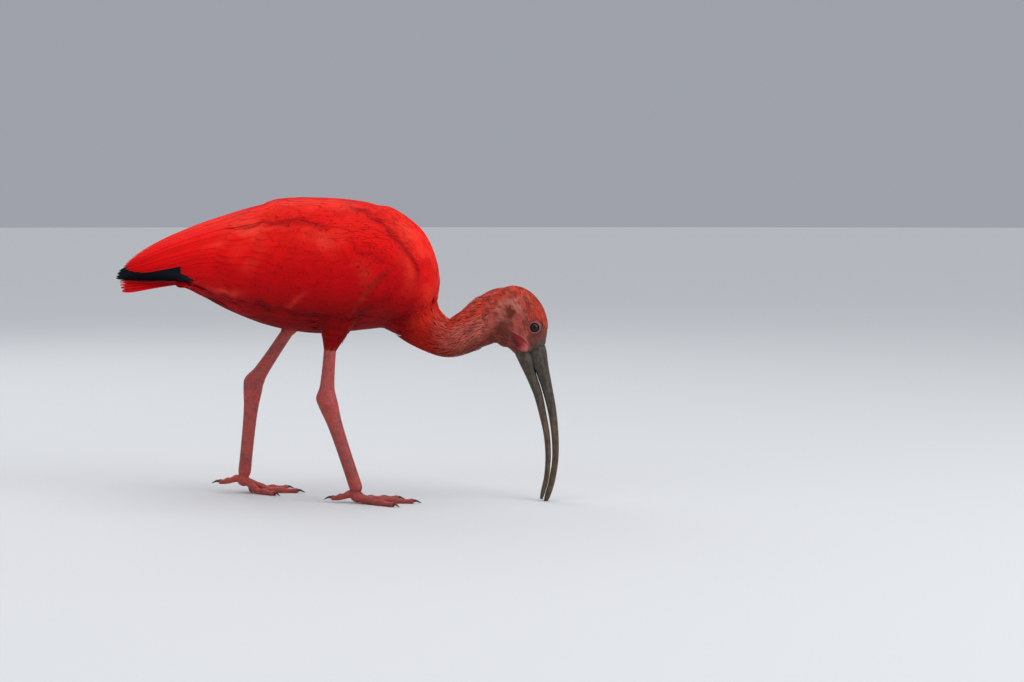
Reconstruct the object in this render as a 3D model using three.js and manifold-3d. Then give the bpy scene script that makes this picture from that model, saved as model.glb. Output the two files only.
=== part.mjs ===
// Scarlet ibis, life size, wading with its bill down. Millimetres, +X forward, +Z up, +Y to the bird's left.
// Each named mesh is one part of the bird; the folded wings and the tail carry their feathers as vanes.
import * as THREE from "three";
import { mergeVertices } from "three/addons/utils/BufferGeometryUtils.js";
import Module from "manifold-3d";

const wasm = await Module();
wasm.setup();

// driving dimensions
const GAP = 0.3; // between neighbouring parts
const TARSUS = 91.5; // ankle to toe joint
const EYE_RADIUS = 4.6;
const VANE_ROOT = 0.8; // thickness of a feather at its root and at its tip
const VANE_TIP = 0.5;
const VANE_PITCH = 1.05; // height from a feather to the one that lies on it
const VANE_REACH = 0.84; // half width of a feather, as a share of the way to the next one in its row
const TOE_LENGTHS = { hind: 24, inner: 41, middle: 52, outer: 44 };
const SIDES = { right: -1, left: 1 };

// Rows are [x, top z, bottom z, half width], from the tail end to the breast.
const TORSO_ROWS = [
  [-112, 202.5, 199.5, 2],
  [-106, 208, 197.5, 9],
  [-90, 226, 188.5, 21],
  [-58, 253, 172.5, 34],
  [-24, 271, 160.5, 43],
  [17, 281.5, 154.5, 47.5],
  [60, 279, 158, 49.5],
  [90, 269, 162, 47.5],
  [110, 255.5, 168, 41],
  [122, 240, 176, 31],
  [129, 222, 186, 17],
  [131.5, 204, 202, 1],
];
// The outside of the folded wings, from the tips of the flight feathers to the bend of the wing.
const WING_ROWS = [
  [-172, 220, 200.5, 10.5],
  [-160, 227.5, 199, 15],
  [-144, 237, 197.5, 20.5],
  [-122, 248.5, 194.5, 27.5],
  [-90, 261.5, 188, 38],
  [-58, 272, 172.5, 47.5],
  [-24, 283.5, 160.5, 54.5],
  [17, 285.5, 154.5, 58],
  [60, 281.5, 157.5, 57.5],
  [90, 270.5, 162, 51],
  [112, 256, 168, 41],
];
// Rows are [x, y, z, radius in the plane of the bend, half width], from inside the breast to inside the head.
const NECK_ROWS = [
  [84, 0, 196, 36, 33],
  [100, 0, 180, 30, 28],
  [115.8, -0.5, 161.9, 21.5, 21],
  [138, -1.5, 150.2, 17.7, 17.3],
  [157.3, -2.5, 156.9, 19.6, 17],
  [173.5, -3.5, 166, 23.2, 16.5],
  [187, -4, 175, 23.6, 16.2],
  [199, -4.4, 178.8, 21.2, 15],
];
const NECK_SPLIT = 0.62; // share of the neck where its two lengths meet
const NECK_PARTING = 0.003; // the gap there, as a share of the neck

// small tools
const vec = (x, y, z) => new THREE.Vector3(x, y, z);
const lerp = THREE.MathUtils.lerp;
const smooth = THREE.MathUtils.smoothstep;

// Catmull-Rom through rows of equal length, read at a place given as a share of the rows.
function rowAt(rows, share) {
  const place = THREE.MathUtils.clamp(share, 0, 1) * (rows.length - 1);
  const i = Math.min(Math.floor(place), rows.length - 2);
  const t = place - i;
  const pick = (j) => rows[THREE.MathUtils.clamp(j, 0, rows.length - 1)];
  const [a, b, c, d] = [pick(i - 1), pick(i), pick(i + 1), pick(i + 2)];
  return b.map((_, k) => {
    const slopeIn = (c[k] - a[k]) / 2;
    const slopeOut = (d[k] - b[k]) / 2;
    const t2 = t * t;
    const t3 = t2 * t;
    return (
      (2 * t3 - 3 * t2 + 1) * b[k] + (t3 - 2 * t2 + t) * slopeIn + (3 * t2 - 2 * t3) * c[k] + (t3 - t2) * slopeOut
    );
  });
}

// The row whose first value is x, in rows that climb along it.
function rowAtX(rows, x) {
  let low = 0;
  let high = 1;
  for (let i = 0; i < 30; i++) {
    const middle = (low + high) / 2;
    if (rowAt(rows, middle)[0] < x) low = middle;
    else high = middle;
  }
  return rowAt(rows, (low + high) / 2);
}

// A closed mesh from points and faces, turned so that its faces point out.
function closedGeometry(points, faces) {
  let volume = 0;
  for (const [a, b, c] of faces) volume += points[a].dot(vec().crossVectors(points[b], points[c]));
  const index = faces.flatMap(([a, b, c]) => (volume < 0 ? [a, c, b] : [a, b, c]));
  const geometry = new THREE.BufferGeometry().setFromPoints(points);
  geometry.setIndex(index);
  return geometry;
}

// A closed surface through rings of equal point count, with a flat fan at each end.
function loft(rings) {
  const n = rings[0].length;
  const points = rings.flat();
  const faces = [];
  for (let r = 0; r < rings.length - 1; r++)
    for (let k = 0; k < n; k++) {
      const [a, b] = [r * n + k, r * n + ((k + 1) % n)];
      faces.push([a, b, b + n], [a, b + n, a + n]);
    }
  const ends = [rings[0], rings[rings.length - 1]];
  ends.forEach((ring, e) => {
    const centre = points.push(ring.reduce((sum, p) => sum.add(p), vec(0, 0, 0)).divideScalar(n)) - 1;
    const start = e * (rings.length - 1) * n;
    for (let k = 0; k < n; k++) {
      const [a, b] = [start + k, start + ((k + 1) % n)];
      faces.push(e ? [centre, a, b] : [centre, b, a]);
    }
  });
  return closedGeometry(points, faces);
}

// A ring of an egg-shaped section: up and down heights may differ.
function ring(centre, side, up, halfWidth, upHeight, downHeight, count) {
  return Array.from({ length: count }, (_, k) => {
    const angle = (2 * Math.PI * k) / count;
    const height = Math.cos(angle) > 0 ? upHeight : downHeight;
    return centre
      .clone()
      .addScaledVector(side, halfWidth * Math.sin(angle))
      .addScaledVector(up, height * Math.cos(angle));
  });
}

// A tube through rows of [x, y, z, radius in the bend's plane, half width], with its side kept level.
function tube(rows, steps, count, from = 0, to = 1, grow = 0) {
  const at = (share) => rowAt(rows, share);
  const place = (share) => vec(...at(share));
  return loft(
    Array.from({ length: steps + 1 }, (_, i) => {
      const share = lerp(from, to, i / steps);
      const row = at(share);
      const along = place(Math.min(1, share + 0.01)).sub(place(Math.max(0, share - 0.01))).normalize();
      const side = vec(0, 1, 0).addScaledVector(along, -along.y).normalize();
      const up = vec().crossVectors(along, side).normalize();
      const radius = row[3] + grow;
      return ring(vec(...row), side, up, (row[4] ?? row[3]) + grow, radius, radius, count);
    }),
  );
}

// A sheet from a function of u, v and height, closed between two heights; both faces are split alike.
function sheet(place, uCount, vCount) {
  const points = [];
  const id = (face, i, j) => face * (uCount + 1) * (vCount + 1) + i * (vCount + 1) + j;
  for (const face of [0, 1])
    for (let i = 0; i <= uCount; i++)
      for (let j = 0; j <= vCount; j++) points.push(place(i / uCount, j / vCount, face));
  const faces = [];
  const quad = (a, b, c, d) => faces.push([a, b, c], [a, c, d]);
  for (let i = 0; i < uCount; i++)
    for (let j = 0; j < vCount; j++) {
      const corners = (face) => [id(face, i, j), id(face, i + 1, j), id(face, i + 1, j + 1), id(face, i, j + 1)];
      const [a, b, c, d] = corners(1);
      const [e, f, g, h] = corners(0);
      faces.push([a, b, c], [a, c, d], [e, g, f], [e, h, g]);
    }
  for (let i = 0; i < uCount; i++) {
    quad(id(0, i, 0), id(0, i + 1, 0), id(1, i + 1, 0), id(1, i, 0));
    quad(id(0, i + 1, vCount), id(0, i, vCount), id(1, i, vCount), id(1, i + 1, vCount));
  }
  for (let j = 0; j < vCount; j++) {
    quad(id(0, 0, j + 1), id(0, 0, j), id(1, 0, j), id(1, 0, j + 1));
    quad(id(0, uCount, j), id(0, uCount, j + 1), id(1, uCount, j + 1), id(1, uCount, j));
  }
  return closedGeometry(points, faces);
}

// joining and cutting
function solid(geometry) {
  const bare = geometry.clone();
  bare.deleteAttribute("normal");
  bare.deleteAttribute("uv");
  const merged = mergeVertices(bare, 1e-4);
  return new wasm.Manifold(
    new wasm.Mesh({
      numProp: 3,
      vertProperties: merged.attributes.position.array,
      triVerts: new Uint32Array(merged.index.array),
    }),
  );
}

const join = (...solids) => solids.reduce((sum, s) => sum.add(s));
const cut = (body, ...tools) => tools.reduce((rest, tool) => rest.subtract(tool), body);

// All below the floor.
const floor = () => solid(new THREE.BoxGeometry(700, 300, 40).translate(0, 0, -20));

// The largest closed surface of a solid, so that no scrap or sealed hollow stays.
function largest(body) {
  return body.decompose().reduce((best, piece) => (piece.volume() > best.volume() ? piece : best));
}

const MATERIALS = {
  scarlet: new THREE.MeshStandardMaterial({ color: 0xe01710, roughness: 0.62 }),
  rose: new THREE.MeshStandardMaterial({ color: 0xc9554a, roughness: 0.75 }),
  black: new THREE.MeshStandardMaterial({ color: 0x10171f, roughness: 0.5 }),
  leg: new THREE.MeshStandardMaterial({ color: 0xc8514c, roughness: 0.5 }),
  horn: new THREE.MeshStandardMaterial({ color: 0x5b564f, roughness: 0.4 }),
  claw: new THREE.MeshStandardMaterial({ color: 0x5a4038, roughness: 0.45 }),
  eye: new THREE.MeshStandardMaterial({ color: 0x1b120e, roughness: 0.08 }),
};

const bird = new THREE.Group();

function part(name, body, material) {
  const { vertProperties, triVerts } = largest(body).getMesh();
  const geometry = new THREE.BufferGeometry();
  geometry.setAttribute("position", new THREE.BufferAttribute(new Float32Array(vertProperties), 3));
  geometry.setIndex(new THREE.BufferAttribute(new Uint32Array(triVerts), 1));
  const mesh = new THREE.Mesh(geometry, MATERIALS[material]);
  mesh.name = name;
  bird.add(mesh);
}

// torso
const EQUATOR = 0.55; // share of a section's height at which it is widest

function torso(grow = 0) {
  const STEPS = 28;
  const POINTS = 22;
  return solid(
    loft(
      Array.from({ length: STEPS + 1 }, (_, i) => {
        const [x, top, bottom, half] = rowAt(TORSO_ROWS, i / STEPS);
        const middle = lerp(bottom, top, EQUATOR);
        const end = i === 0 ? -grow : i === STEPS ? grow : 0;
        const heights = [top - middle + grow, middle - bottom + grow];
        return ring(vec(x + end, 0, middle), vec(0, 1, 0), vec(0, 0, 1), half + grow, ...heights, POINTS);
      }),
    ),
  );
}

// neck and head
const neck = (steps, from, to, grow = 0) => solid(tube(NECK_ROWS, steps, 16, from, to, grow));

// The head hangs from its crown to the base of the bill, and is rolled so that the bill leans to the right.
const HEAD_TOP = vec(193, 0, 198);
const HEAD_AXIS = vec(0.44, 0, -0.898).normalize();
const HEAD_FRONT = vec(0.898, 0, 0.44).normalize();
const HEAD_PIVOT = vec(190, 0, 190);
const HEAD_ROLL = THREE.MathUtils.degToRad(-6);
const HEAD_SHIFT = -4;

const headMatrix = new THREE.Matrix4()
  .makeTranslation(HEAD_PIVOT.x, HEAD_PIVOT.y + HEAD_SHIFT, HEAD_PIVOT.z)
  .multiply(new THREE.Matrix4().makeRotationX(HEAD_ROLL))
  .multiply(new THREE.Matrix4().makeTranslation(-HEAD_PIVOT.x, -HEAD_PIVOT.y, -HEAD_PIVOT.z));

// A place in the head: along it from the crown, out to the side, and towards the forehead.
const inHead = (along, side, front) =>
  HEAD_TOP.clone().addScaledVector(HEAD_AXIS, along).addScaledVector(HEAD_FRONT, front).add(vec(0, side, 0));

// Rows are [along, forehead reach, throat reach, half width].
const HEAD_ROWS = [
  [0.4, 1.5, 4.5, 2],
  [2.8, 8, 15, 9],
  [9, 15.2, 19.5, 14],
  [18.5, 20.4, 22.5, 16.5],
  [31, 22.7, 25, 16.8],
  [43, 21.3, 30.4, 15],
  [52, 17.5, 23.6, 12.2],
  [60, 12.5, 19.8, 9.6],
  [64, 10, 18.2, 8.2],
];

function headShape(grow = 0) {
  const STEPS = 20;
  return solid(
    loft(
      Array.from({ length: STEPS + 1 }, (_, i) => {
        const [along, front, back, half] = rowAt(HEAD_ROWS, i / STEPS);
        const end = i === 0 ? -grow : i === STEPS ? grow : 0;
        const centre = inHead(along + end, 0, 0);
        return ring(centre, vec(0, 1, 0), HEAD_FRONT, half + grow, front + grow, back + grow, 20);
      }),
    ),
  );
}

const EYE_ALONG = 45.8;
const EYE_FRONT = 6.6;
const EYE_OUT = 10.6;

function eyeball(side, grow = 0) {
  const geometry = new THREE.SphereGeometry(EYE_RADIUS + grow, 14, 10);
  geometry.applyMatrix4(new THREE.Matrix4().setPosition(inHead(EYE_ALONG, side * EYE_OUT, EYE_FRONT)));
  return solid(geometry);
}

// The ring of bare lid round the eye.
function lids(side) {
  const geometry = new THREE.TorusGeometry(EYE_RADIUS + 0.5, 1.1, 5, 14);
  geometry.applyMatrix4(new THREE.Matrix4().makeRotationX(Math.PI / 2));
  geometry.applyMatrix4(new THREE.Matrix4().setPosition(inHead(EYE_ALONG, side * (EYE_OUT + 2.6), EYE_FRONT)));
  return solid(geometry);
}

// The bare, swollen skin behind the corner of the mouth.
function gapeSkin(side, grow = 0) {
  const geometry = new THREE.SphereGeometry(1, 12, 8);
  const turn = new THREE.Matrix4().makeBasis(HEAD_FRONT, vec(0, 1, 0), HEAD_AXIS);
  geometry.applyMatrix4(new THREE.Matrix4().makeScale(4.6 + grow, 3.2 + grow, 11 + grow));
  geometry.applyMatrix4(new THREE.Matrix4().makeRotationY(0.2));
  geometry.applyMatrix4(turn);
  geometry.applyMatrix4(new THREE.Matrix4().setPosition(inHead(51, side * 8.8, -12)));
  return solid(geometry);
}

// bill
// Rows are [x, y, z, half depth, half width], from inside the face to the tip.
const BILL_UPPER_ROWS = [
  [221.8, 0, 150, 8.8, 8.8],
  [223.2, 0, 138, 7.9, 8.2],
  [226.2, 0, 122, 6.4, 6.9],
  [230.9, 0, 104, 5, 5.6],
  [235.3, 0, 84, 4.1, 4.8],
  [238.1, 0, 62, 3.4, 4.1],
  [238.6, 0, 40, 3, 3.6],
  [236, 0, 20, 2.8, 3.3],
  [231.8, 0, 5, 2.5, 3.1],
  [229.4, 0, -1.6, 1.5, 2],
];
const BILL_LOWER_ROWS = [
  [208, 0, 140, 6.3, 7],
  [212, 0, 129, 5.6, 6.6],
  [216.8, 0, 115, 4.6, 5.6],
  [222.5, 0, 98, 4.1, 4.7],
  [227, 0, 79, 3.4, 3.9],
  [230.6, 0, 60, 2.9, 3.3],
  [231.8, 0, 40, 2.6, 3],
  [230.2, 0, 22, 2.2, 2.7],
  [226.9, 0, 8, 1.9, 2.4],
  [225.2, 0, 0.8, 1.1, 1.5],
];
const NOSTRIL_ROWS = [
  [226.6, 0, 135, 0.5, 0.6],
  [227.4, 0, 131, 1, 1.2],
  [228.8, 0, 125, 1, 1.2],
  [230, 0, 120, 0.5, 0.6],
];

const bill = (rows, grow = 0) => solid(tube(rows, 18, 10, 0, 1, grow));

function nostrils() {
  return [-1, 1].map((side) => {
    const rows = NOSTRIL_ROWS.map(([x, , z, radius, half]) => [x, side * (4.3 + (z - 120) * 0.07), z, radius, half]);
    return solid(tube(rows, 4, 6));
  });
}

// A thin slot that opens the line of the mouth from the bill back into the face.
const MOUTH_FROM = vec(207.8, 0, 155.3);
const MOUTH_TO = vec(218.4, 0, 128);
const MOUTH_OPEN = 0.9;

function mouthLine() {
  const along = MOUTH_TO.clone().sub(MOUTH_FROM);
  const slot = new THREE.BoxGeometry(MOUTH_OPEN, 60, along.length());
  slot.rotateY(Math.atan2(along.x, along.z));
  const centre = MOUTH_FROM.clone().lerp(MOUTH_TO, 0.5);
  slot.translate(centre.x, centre.y, centre.z);
  return solid(slot);
}

function makeHead() {
  const turned = (body) => body.transform(headMatrix.elements);
  const skull = join(headShape(), ...Object.values(SIDES).flatMap((side) => [lids(side), gapeSkin(side)]));
  const sockets = Object.values(SIDES).map((side) => eyeball(side, GAP));
  part("head", turned(cut(skull, ...sockets, mouthLine())), "rose");
  for (const [name, side] of Object.entries(SIDES)) part(`eye_${name}`, turned(eyeball(side)), "eye");
  const face = headShape(GAP);
  const skin = Object.values(SIDES).map((side) => gapeSkin(side, GAP));
  const upper = cut(bill(BILL_UPPER_ROWS), face, ...nostrils());
  part("bill_upper", cut(turned(upper), floor()), "horn");
  const lower = cut(bill(BILL_LOWER_ROWS), face, bill(BILL_UPPER_ROWS, GAP), ...skin);
  part("bill_lower", cut(turned(lower), floor()), "horn");
  const grownHead = turned(headShape(GAP));
  part("neck_lower", cut(neck(9, 0, NECK_SPLIT), torso(GAP)), "rose");
  part("neck_upper", cut(neck(6, NECK_SPLIT + NECK_PARTING, 1), grownHead), "rose");
}

// folded wings
// A place on the outside of a folded wing: x, angle round the body from the back's midline, height off the surface.
function onWing(x, degrees, height, side) {
  const [, top, bottom, half] = rowAtX(WING_ROWS, x);
  const angle = THREE.MathUtils.degToRad(degrees);
  const middle = lerp(bottom, top, EQUATOR);
  const reach = Math.cos(angle) > 0 ? top - middle : middle - bottom;
  const out = vec(0, Math.sin(angle) / half, Math.cos(angle) / reach).normalize();
  const y = Math.max(half * Math.sin(angle) + height * out.y, GAP);
  return vec(x, side * y, middle + reach * Math.cos(angle) + height * out.z);
}

// A smooth pad between two edges of the wing, each edge a function of u giving x and degrees.
function pad(side, upperEdge, lowerEdge, low, high, uCount, vCount, grow = 0) {
  return solid(
    sheet(
      (u, v, face) => {
        const [upper, lower] = [upperEdge(u), lowerEdge(u)];
        const rim = Math.sin(Math.PI * THREE.MathUtils.clamp(v, 0.12, 0.88)) ** 0.5;
        const height = face ? lerp(low(u), high(u), rim) + grow : low(u) - grow;
        return onWing(lerp(upper[0], lower[0], v), lerp(upper[1], lower[1], v), height, side);
      },
      uCount,
      vCount,
    ),
  );
}

const edge = (from, to) => (u) => [lerp(from[0], to[0], u), lerp(from[1], to[1], u)];
const level = (height) => () => height;

// A row's value at a place counted in feathers, carried on straight past either end.
function atOrder(rows, order, count) {
  const inside = THREE.MathUtils.clamp(order, 0, count - 1);
  const row = rowAt(rows, inside / (count - 1));
  if (order === inside) return row;
  const inner = rowAt(rows, (inside - Math.sign(order)) / (count - 1));
  return row.map((value, k) => value + (value - inner[k]) * Math.abs(order - inside));
}

// A feather's outline, as rows of [share of its length, share of its width].
const LONG_VANE = [
  [0, 0.8],
  [0.3, 1],
  [0.6, 1],
  [0.9, 0.85],
  [1, 0.25],
];
const SHORT_VANE = [
  [0, 0.8],
  [0.5, 1],
  [0.86, 0.86],
  [1, 0.25],
];

// The feather at a place in its row. The place function turns shares, order and height into a point.
function vane(order, outline, place) {
  const steps = outline.length - 1;
  return solid(
    sheet(
      (u, v, face) => {
        const [share, width] = outline[Math.round(u * steps)];
        const across = (2 * v - 1) * VANE_REACH * width;
        const thick = lerp(VANE_ROOT, VANE_TIP, share);
        return place(share, order + across, VANE_PITCH * across + (face ? thick : -thick) / 2);
      },
      steps,
      2,
    ),
  );
}

// A row of feathers on the folded wing. Roots and tips are rows of [x, degrees] from the topmost feather down.
function wingRow(side, row) {
  const place = (share, order, height) => {
    const root = atOrder(row.roots, order, row.count);
    const tip = atOrder(row.tips, order, row.count);
    const x = lerp(root[0], tip[0], share);
    return onWing(x, lerp(root[1], tip[1], share), row.height(x) + height, side);
  };
  return Array.from({ length: row.count }, (_, order) => vane(order, row.outline, place));
}

const WING_BACK = -20; // where the coverts end and the flight feathers' root faces are
const PRIMARIES = {
  count: 7,
  outline: LONG_VANE,
  roots: [
    [WING_BACK - 6, 74],
    [WING_BACK - 6, 128],
  ],
  tips: [
    [-162, 50],
    [-169, 82],
    [-171.5, 114],
    [-171, 144],
    [-160, 150],
    [-146, 148],
    [-128, 142],
  ],
  height: (x) => lerp(-9.4, -4.4, smooth(-x, 80, 172)),
};
const SECONDARIES = {
  count: 11,
  outline: LONG_VANE,
  roots: [
    [WING_BACK - 6, 9],
    [WING_BACK - 6, 136],
  ],
  tips: [
    [-148, 11],
    [-157, 26],
    [-161, 45],
    [-162, 67],
    [-160, 91],
    [-153, 113],
    [-130, 120],
    [-110, 125],
    [-101, 131],
    [-96, 137],
    [-90, 143],
  ],
  height: (x) => lerp(-5, -1.3, smooth(-x, 45, 80)),
};
const GREATER_COVERTS = {
  count: 9,
  outline: SHORT_VANE,
  roots: [
    [WING_BACK + 14, 54],
    [WING_BACK + 14, 136],
  ],
  tips: [
    [-62, 56],
    [-58, 98],
    [-50, 141],
  ],
  height: (x) => lerp(-2.6, -1.2, smooth(-x, 8, 22)),
};
const SCAPULARS = {
  count: 6,
  outline: LONG_VANE,
  roots: [
    [50, 8],
    [50, 40],
  ],
  tips: [
    [-42, 8],
    [-36, 24],
    [-26, 44],
  ],
  height: (x) => lerp(-2.4, -1.5, smooth(-x, -34, -10)),
};

function plainCoverts(side, grow = 0) {
  const upper = edge([WING_BACK - grow, 49 - grow], [100 + grow, 46 - grow]);
  const lower = edge([WING_BACK - grow, 142 + grow], [92 + grow, 118 + grow]);
  const high = (u) => lerp(-1.6, 0, smooth(u, 0, 0.2));
  return pad(side, upper, lower, level(-16), high, 10, 10, grow);
}

// The bed that the scapulars root in, on the shoulder.
function shoulder(side, grow = 0) {
  const upper = edge([66 + grow, 3 - grow], [WING_BACK + 2 - grow, 3 - grow]);
  const lower = edge([56 + grow, 46 + grow], [WING_BACK + 2 - grow, 47 + grow]);
  const high = (u) => lerp(-0.6, -3.4, smooth(u, 0.1, 0.3));
  return pad(side, upper, lower, level(-16), high, 8, 5, grow);
}

// The bed of a row of flight feathers.
function bed(side, row, low, high) {
  const first = row.roots[0][1];
  const last = row.roots[row.roots.length - 1][1];
  const upper = edge([WING_BACK - GAP, first - 4], [WING_BACK - 20, first - 4]);
  const lower = edge([WING_BACK - GAP, last + 6], [WING_BACK - 20, last + 6]);
  return pad(side, upper, lower, level(low), level(high), 2, 8);
}

function makeWing(name, side) {
  const body = torso(GAP);
  const scapulars = join(shoulder(side), ...wingRow(side, SCAPULARS));
  part(`scapulars_${name}`, cut(scapulars, body), "scarlet");
  const coverts = join(plainCoverts(side), ...wingRow(side, GREATER_COVERTS));
  part(`wing_coverts_${name}`, cut(coverts, body), "scarlet");
  const secondaries = join(bed(side, SECONDARIES, -6.6, -3.4), ...wingRow(side, SECONDARIES));
  part(`secondaries_${name}`, cut(secondaries, body), "scarlet");
  const primaries = join(bed(side, PRIMARIES, -11, -7.8), ...wingRow(side, PRIMARIES));
  part(`primaries_${name}`, cut(primaries, body), "black");
}

// tail
const TAIL_COUNT = 6; // feathers to a side
const TAIL_ROOT = -100;
const TAIL_TIP = -167.5;

function tailPlace(side, share, order, height) {
  const x = lerp(TAIL_ROOT, TAIL_TIP + 0.35 * Math.max(0, order) ** 2, share);
  const across = lerp(1.9, 4, share) * (order + 0.55);
  return vec(x, side * Math.max(across, 0.15), lerp(203, 199.5, share ** 1.5) - 0.006 * across ** 2 + height);
}

function makeTail() {
  const vanes = Object.values(SIDES).flatMap((side) =>
    Array.from({ length: TAIL_COUNT }, (_, i) => vane(i, SHORT_VANE, (...where) => tailPlace(side, ...where))),
  );
  const root = sheet((u, v, face) => vec(lerp(-95, -118, u), lerp(-12, 12, v), (face ? 204.6 : 200.4) - u), 2, 6);
  part("tail", cut(join(solid(root), ...vanes), torso(GAP)), "scarlet");
}

// legs
// Each leg from the knee inside the body down. Step is the way from the ankle to the toe joint, forward and left,
// turn the foot's heading in degrees, and hindRise how far the hind toe's tip stays off the floor.
const LEGS = {
  right: {
    knee: [40, -24, 182],
    feathers: [29.7, -24.2, 141],
    ankle: [26, -24, 95.8],
    step: [29.5, -14],
    turn: -4,
    hindRise: 2.5,
  },
  left: {
    knee: [12, 22, 190],
    feathers: [-16, 26.5, 153],
    ankle: [-48, 31, 106],
    step: [-10.5, 7],
    turn: -6,
    hindRise: 8,
  },
};
// Rows are [share of the length, radius fore and aft, half width].
const THIGH_ROWS = [
  [0, 19, 16],
  [0.5, 12.4, 11],
  [0.65, 10.6, 9.4],
  [0.8, 8.8, 7.9],
  [1, 6.4, 5.7],
];
const SHANK_ROWS = [
  [0, 5.7, 4.9],
  [0.45, 5.9, 4.9],
  [0.8, 6.9, 5.6],
  [0.92, 8.6, 6.5],
  [1, 9.6, 7],
];
const TARSUS_ROWS = [
  [0, 9.6, 7],
  [0.1, 8.8, 6.3],
  [0.25, 7.1, 5.2],
  [0.45, 6.3, 4.7],
  [0.75, 6, 4.6],
  [0.92, 6.1, 4.8],
  [1, 6.6, 5.5],
];
const TOE_TURNS = { hind: 177, inner: 33, middle: 0, outer: -34 }; // degrees from straight ahead, on the left foot
const TOE_BASE = 3.8;
const TOE_TIP = 2.3;
const TOE_PADS = 3; // swellings along a toe
const TOE_START = 13.4; // from the joint out, where the toes stand clear of one another
const SOLE = 0.35; // how much of each toe the floor flattens
const CLAW_LENGTH = 7;
const BALL = vec(6.4, 6, 5.2);
const WEB_REACH = TOE_START - 3;

function limb(from, to, rows, steps, count, grow = 0) {
  const placed = rows.map(([share, radius, half]) => {
    const at = from.clone().lerp(to, share);
    return [at.x, at.y, at.z, radius, half];
  });
  return solid(tube(placed, steps, count, 0, 1, grow));
}

// A toe's rows, from inside the foot down to the floor and out to its tip.
function toeRows(joint, heading, which, hindRise) {
  const hind = which === "hind";
  const rise = hind ? hindRise : 0;
  const top = joint.z - (hind ? 1 : 4.5);
  const landing = hind ? 0.8 : lerp(0.22, 0.5, smooth(joint.z, 9, 16)); // share of the toe off the floor
  return Array.from({ length: 10 }, (_, i) => {
    const share = i / 9;
    const radius = lerp(TOE_BASE, TOE_TIP, share) + 0.35 * Math.cos(share * 2 * TOE_PADS * Math.PI);
    const height = lerp(top, radius - SOLE + rise, smooth(share, 0, landing));
    const at = joint.clone().addScaledVector(heading, TOE_LENGTHS[which] * share);
    return [at.x, at.y, Math.max(height, radius - SOLE), radius, radius];
  });
}

function clawRows(toe, heading) {
  const tip = vec(...toe[toe.length - 1]);
  return [0, 0.35, 0.7, 1].map((share) => {
    const at = tip.clone().addScaledVector(heading, GAP + CLAW_LENGTH * share);
    const radius = lerp(TOE_TIP * 0.8, 0.4, share);
    return [at.x, at.y, tip.z - 1.4 * smooth(share, 0.3, 1), radius, radius];
  });
}

// The skin between the roots of the front toes.
function footWeb(joint, headingOf) {
  const place = (u, v, face) => {
    const turn = lerp(TOE_TURNS.inner, TOE_TURNS.outer, v);
    const bay = 1 - 0.35 * Math.abs(Math.sin((Math.PI * turn) / TOE_TURNS.outer));
    const at = joint.clone().addScaledVector(headingOf(turn), lerp(2, WEB_REACH * bay, u));
    const height = lerp(joint.z - 5.5, 1.2, smooth(u, 0, 0.9)) + (face ? 0.8 : -0.8);
    return at.setZ(height);
  };
  return solid(sheet(place, 2, 6));
}

function makeLeg(name, side) {
  const leg = LEGS[name];
  const [knee, feathers, ankle] = [leg.knee, leg.feathers, leg.ankle].map((p) => vec(...p));
  const [ahead, out] = leg.step;
  const joint = ankle.clone().add(vec(ahead, out, -Math.sqrt(TARSUS ** 2 - ahead ** 2 - out ** 2)));
  const headingOf = (turn) => {
    const angle = THREE.MathUtils.degToRad(leg.turn - side * turn);
    return vec(Math.cos(angle), Math.sin(angle), 0);
  };
  const thigh = (grow) => limb(knee, feathers, THIGH_ROWS, 6, 14, grow);
  const shankTop = ankle.clone().lerp(feathers, 1.1);
  const shank = (grow) => limb(shankTop, ankle, SHANK_ROWS, 8, 10, grow);
  const tarsus = (grow) => limb(ankle, joint, TARSUS_ROWS, 10, 10, grow);
  part(`thigh_${name}`, cut(thigh(0), torso(GAP), plainCoverts(side, GAP)), "scarlet");
  part(`shank_${name}`, cut(shank(0), thigh(GAP)), "leg");
  part(`tarsus_${name}`, cut(tarsus(0), shank(GAP)), "leg");

  const ball = new THREE.SphereGeometry(1, 8, 6);
  ball.scale(BALL.x, BALL.y, BALL.z);
  ball.translate(joint.x, joint.y, joint.z - 4.4);
  const roots = [];
  for (const [which, turn] of Object.entries(TOE_TURNS)) {
    const heading = headingOf(turn);
    const rows = toeRows(joint, heading, which, leg.hindRise);
    const start = TOE_START / TOE_LENGTHS[which];
    roots.push(solid(tube(rows, 2, 8, 0, start - GAP / TOE_LENGTHS[which])));
    part(`toe_${which}_${name}`, cut(solid(tube(rows, 9, 8, start, 1)), floor()), "leg");
    part(`claw_${which}_${name}`, cut(solid(tube(clawRows(rows, heading), 4, 6)), floor()), "claw");
  }
  const foot = join(solid(ball), footWeb(joint, headingOf), ...roots);
  part(`foot_${name}`, cut(foot, tarsus(GAP), floor()), "leg");
}

part("torso", torso(), "scarlet");
makeHead();
for (const [name, side] of Object.entries(SIDES)) makeWing(name, side);
makeTail();
for (const [name, side] of Object.entries(SIDES)) makeLeg(name, side);

// The origin is the middle of the box's underside.
const box = new THREE.Box3().setFromObject(bird);
const middle = box.getCenter(vec(0, 0, 0));
bird.position.set(-middle.x, -middle.y, -box.min.z);

export default bird;
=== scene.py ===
"""Scarlet ibis, life size. Its skin, feathers, bill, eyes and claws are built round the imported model.

Shapes are worked out in millimetres with the tail end of the body at x -112 and the floor at z 0, then
moved into the frame in metres. The bird faces +X and its left is +Y.
"""

import itertools
import math

import bmesh
import bpy
import numpy as np
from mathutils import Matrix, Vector
from mathutils.bvhtree import BVHTree


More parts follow.
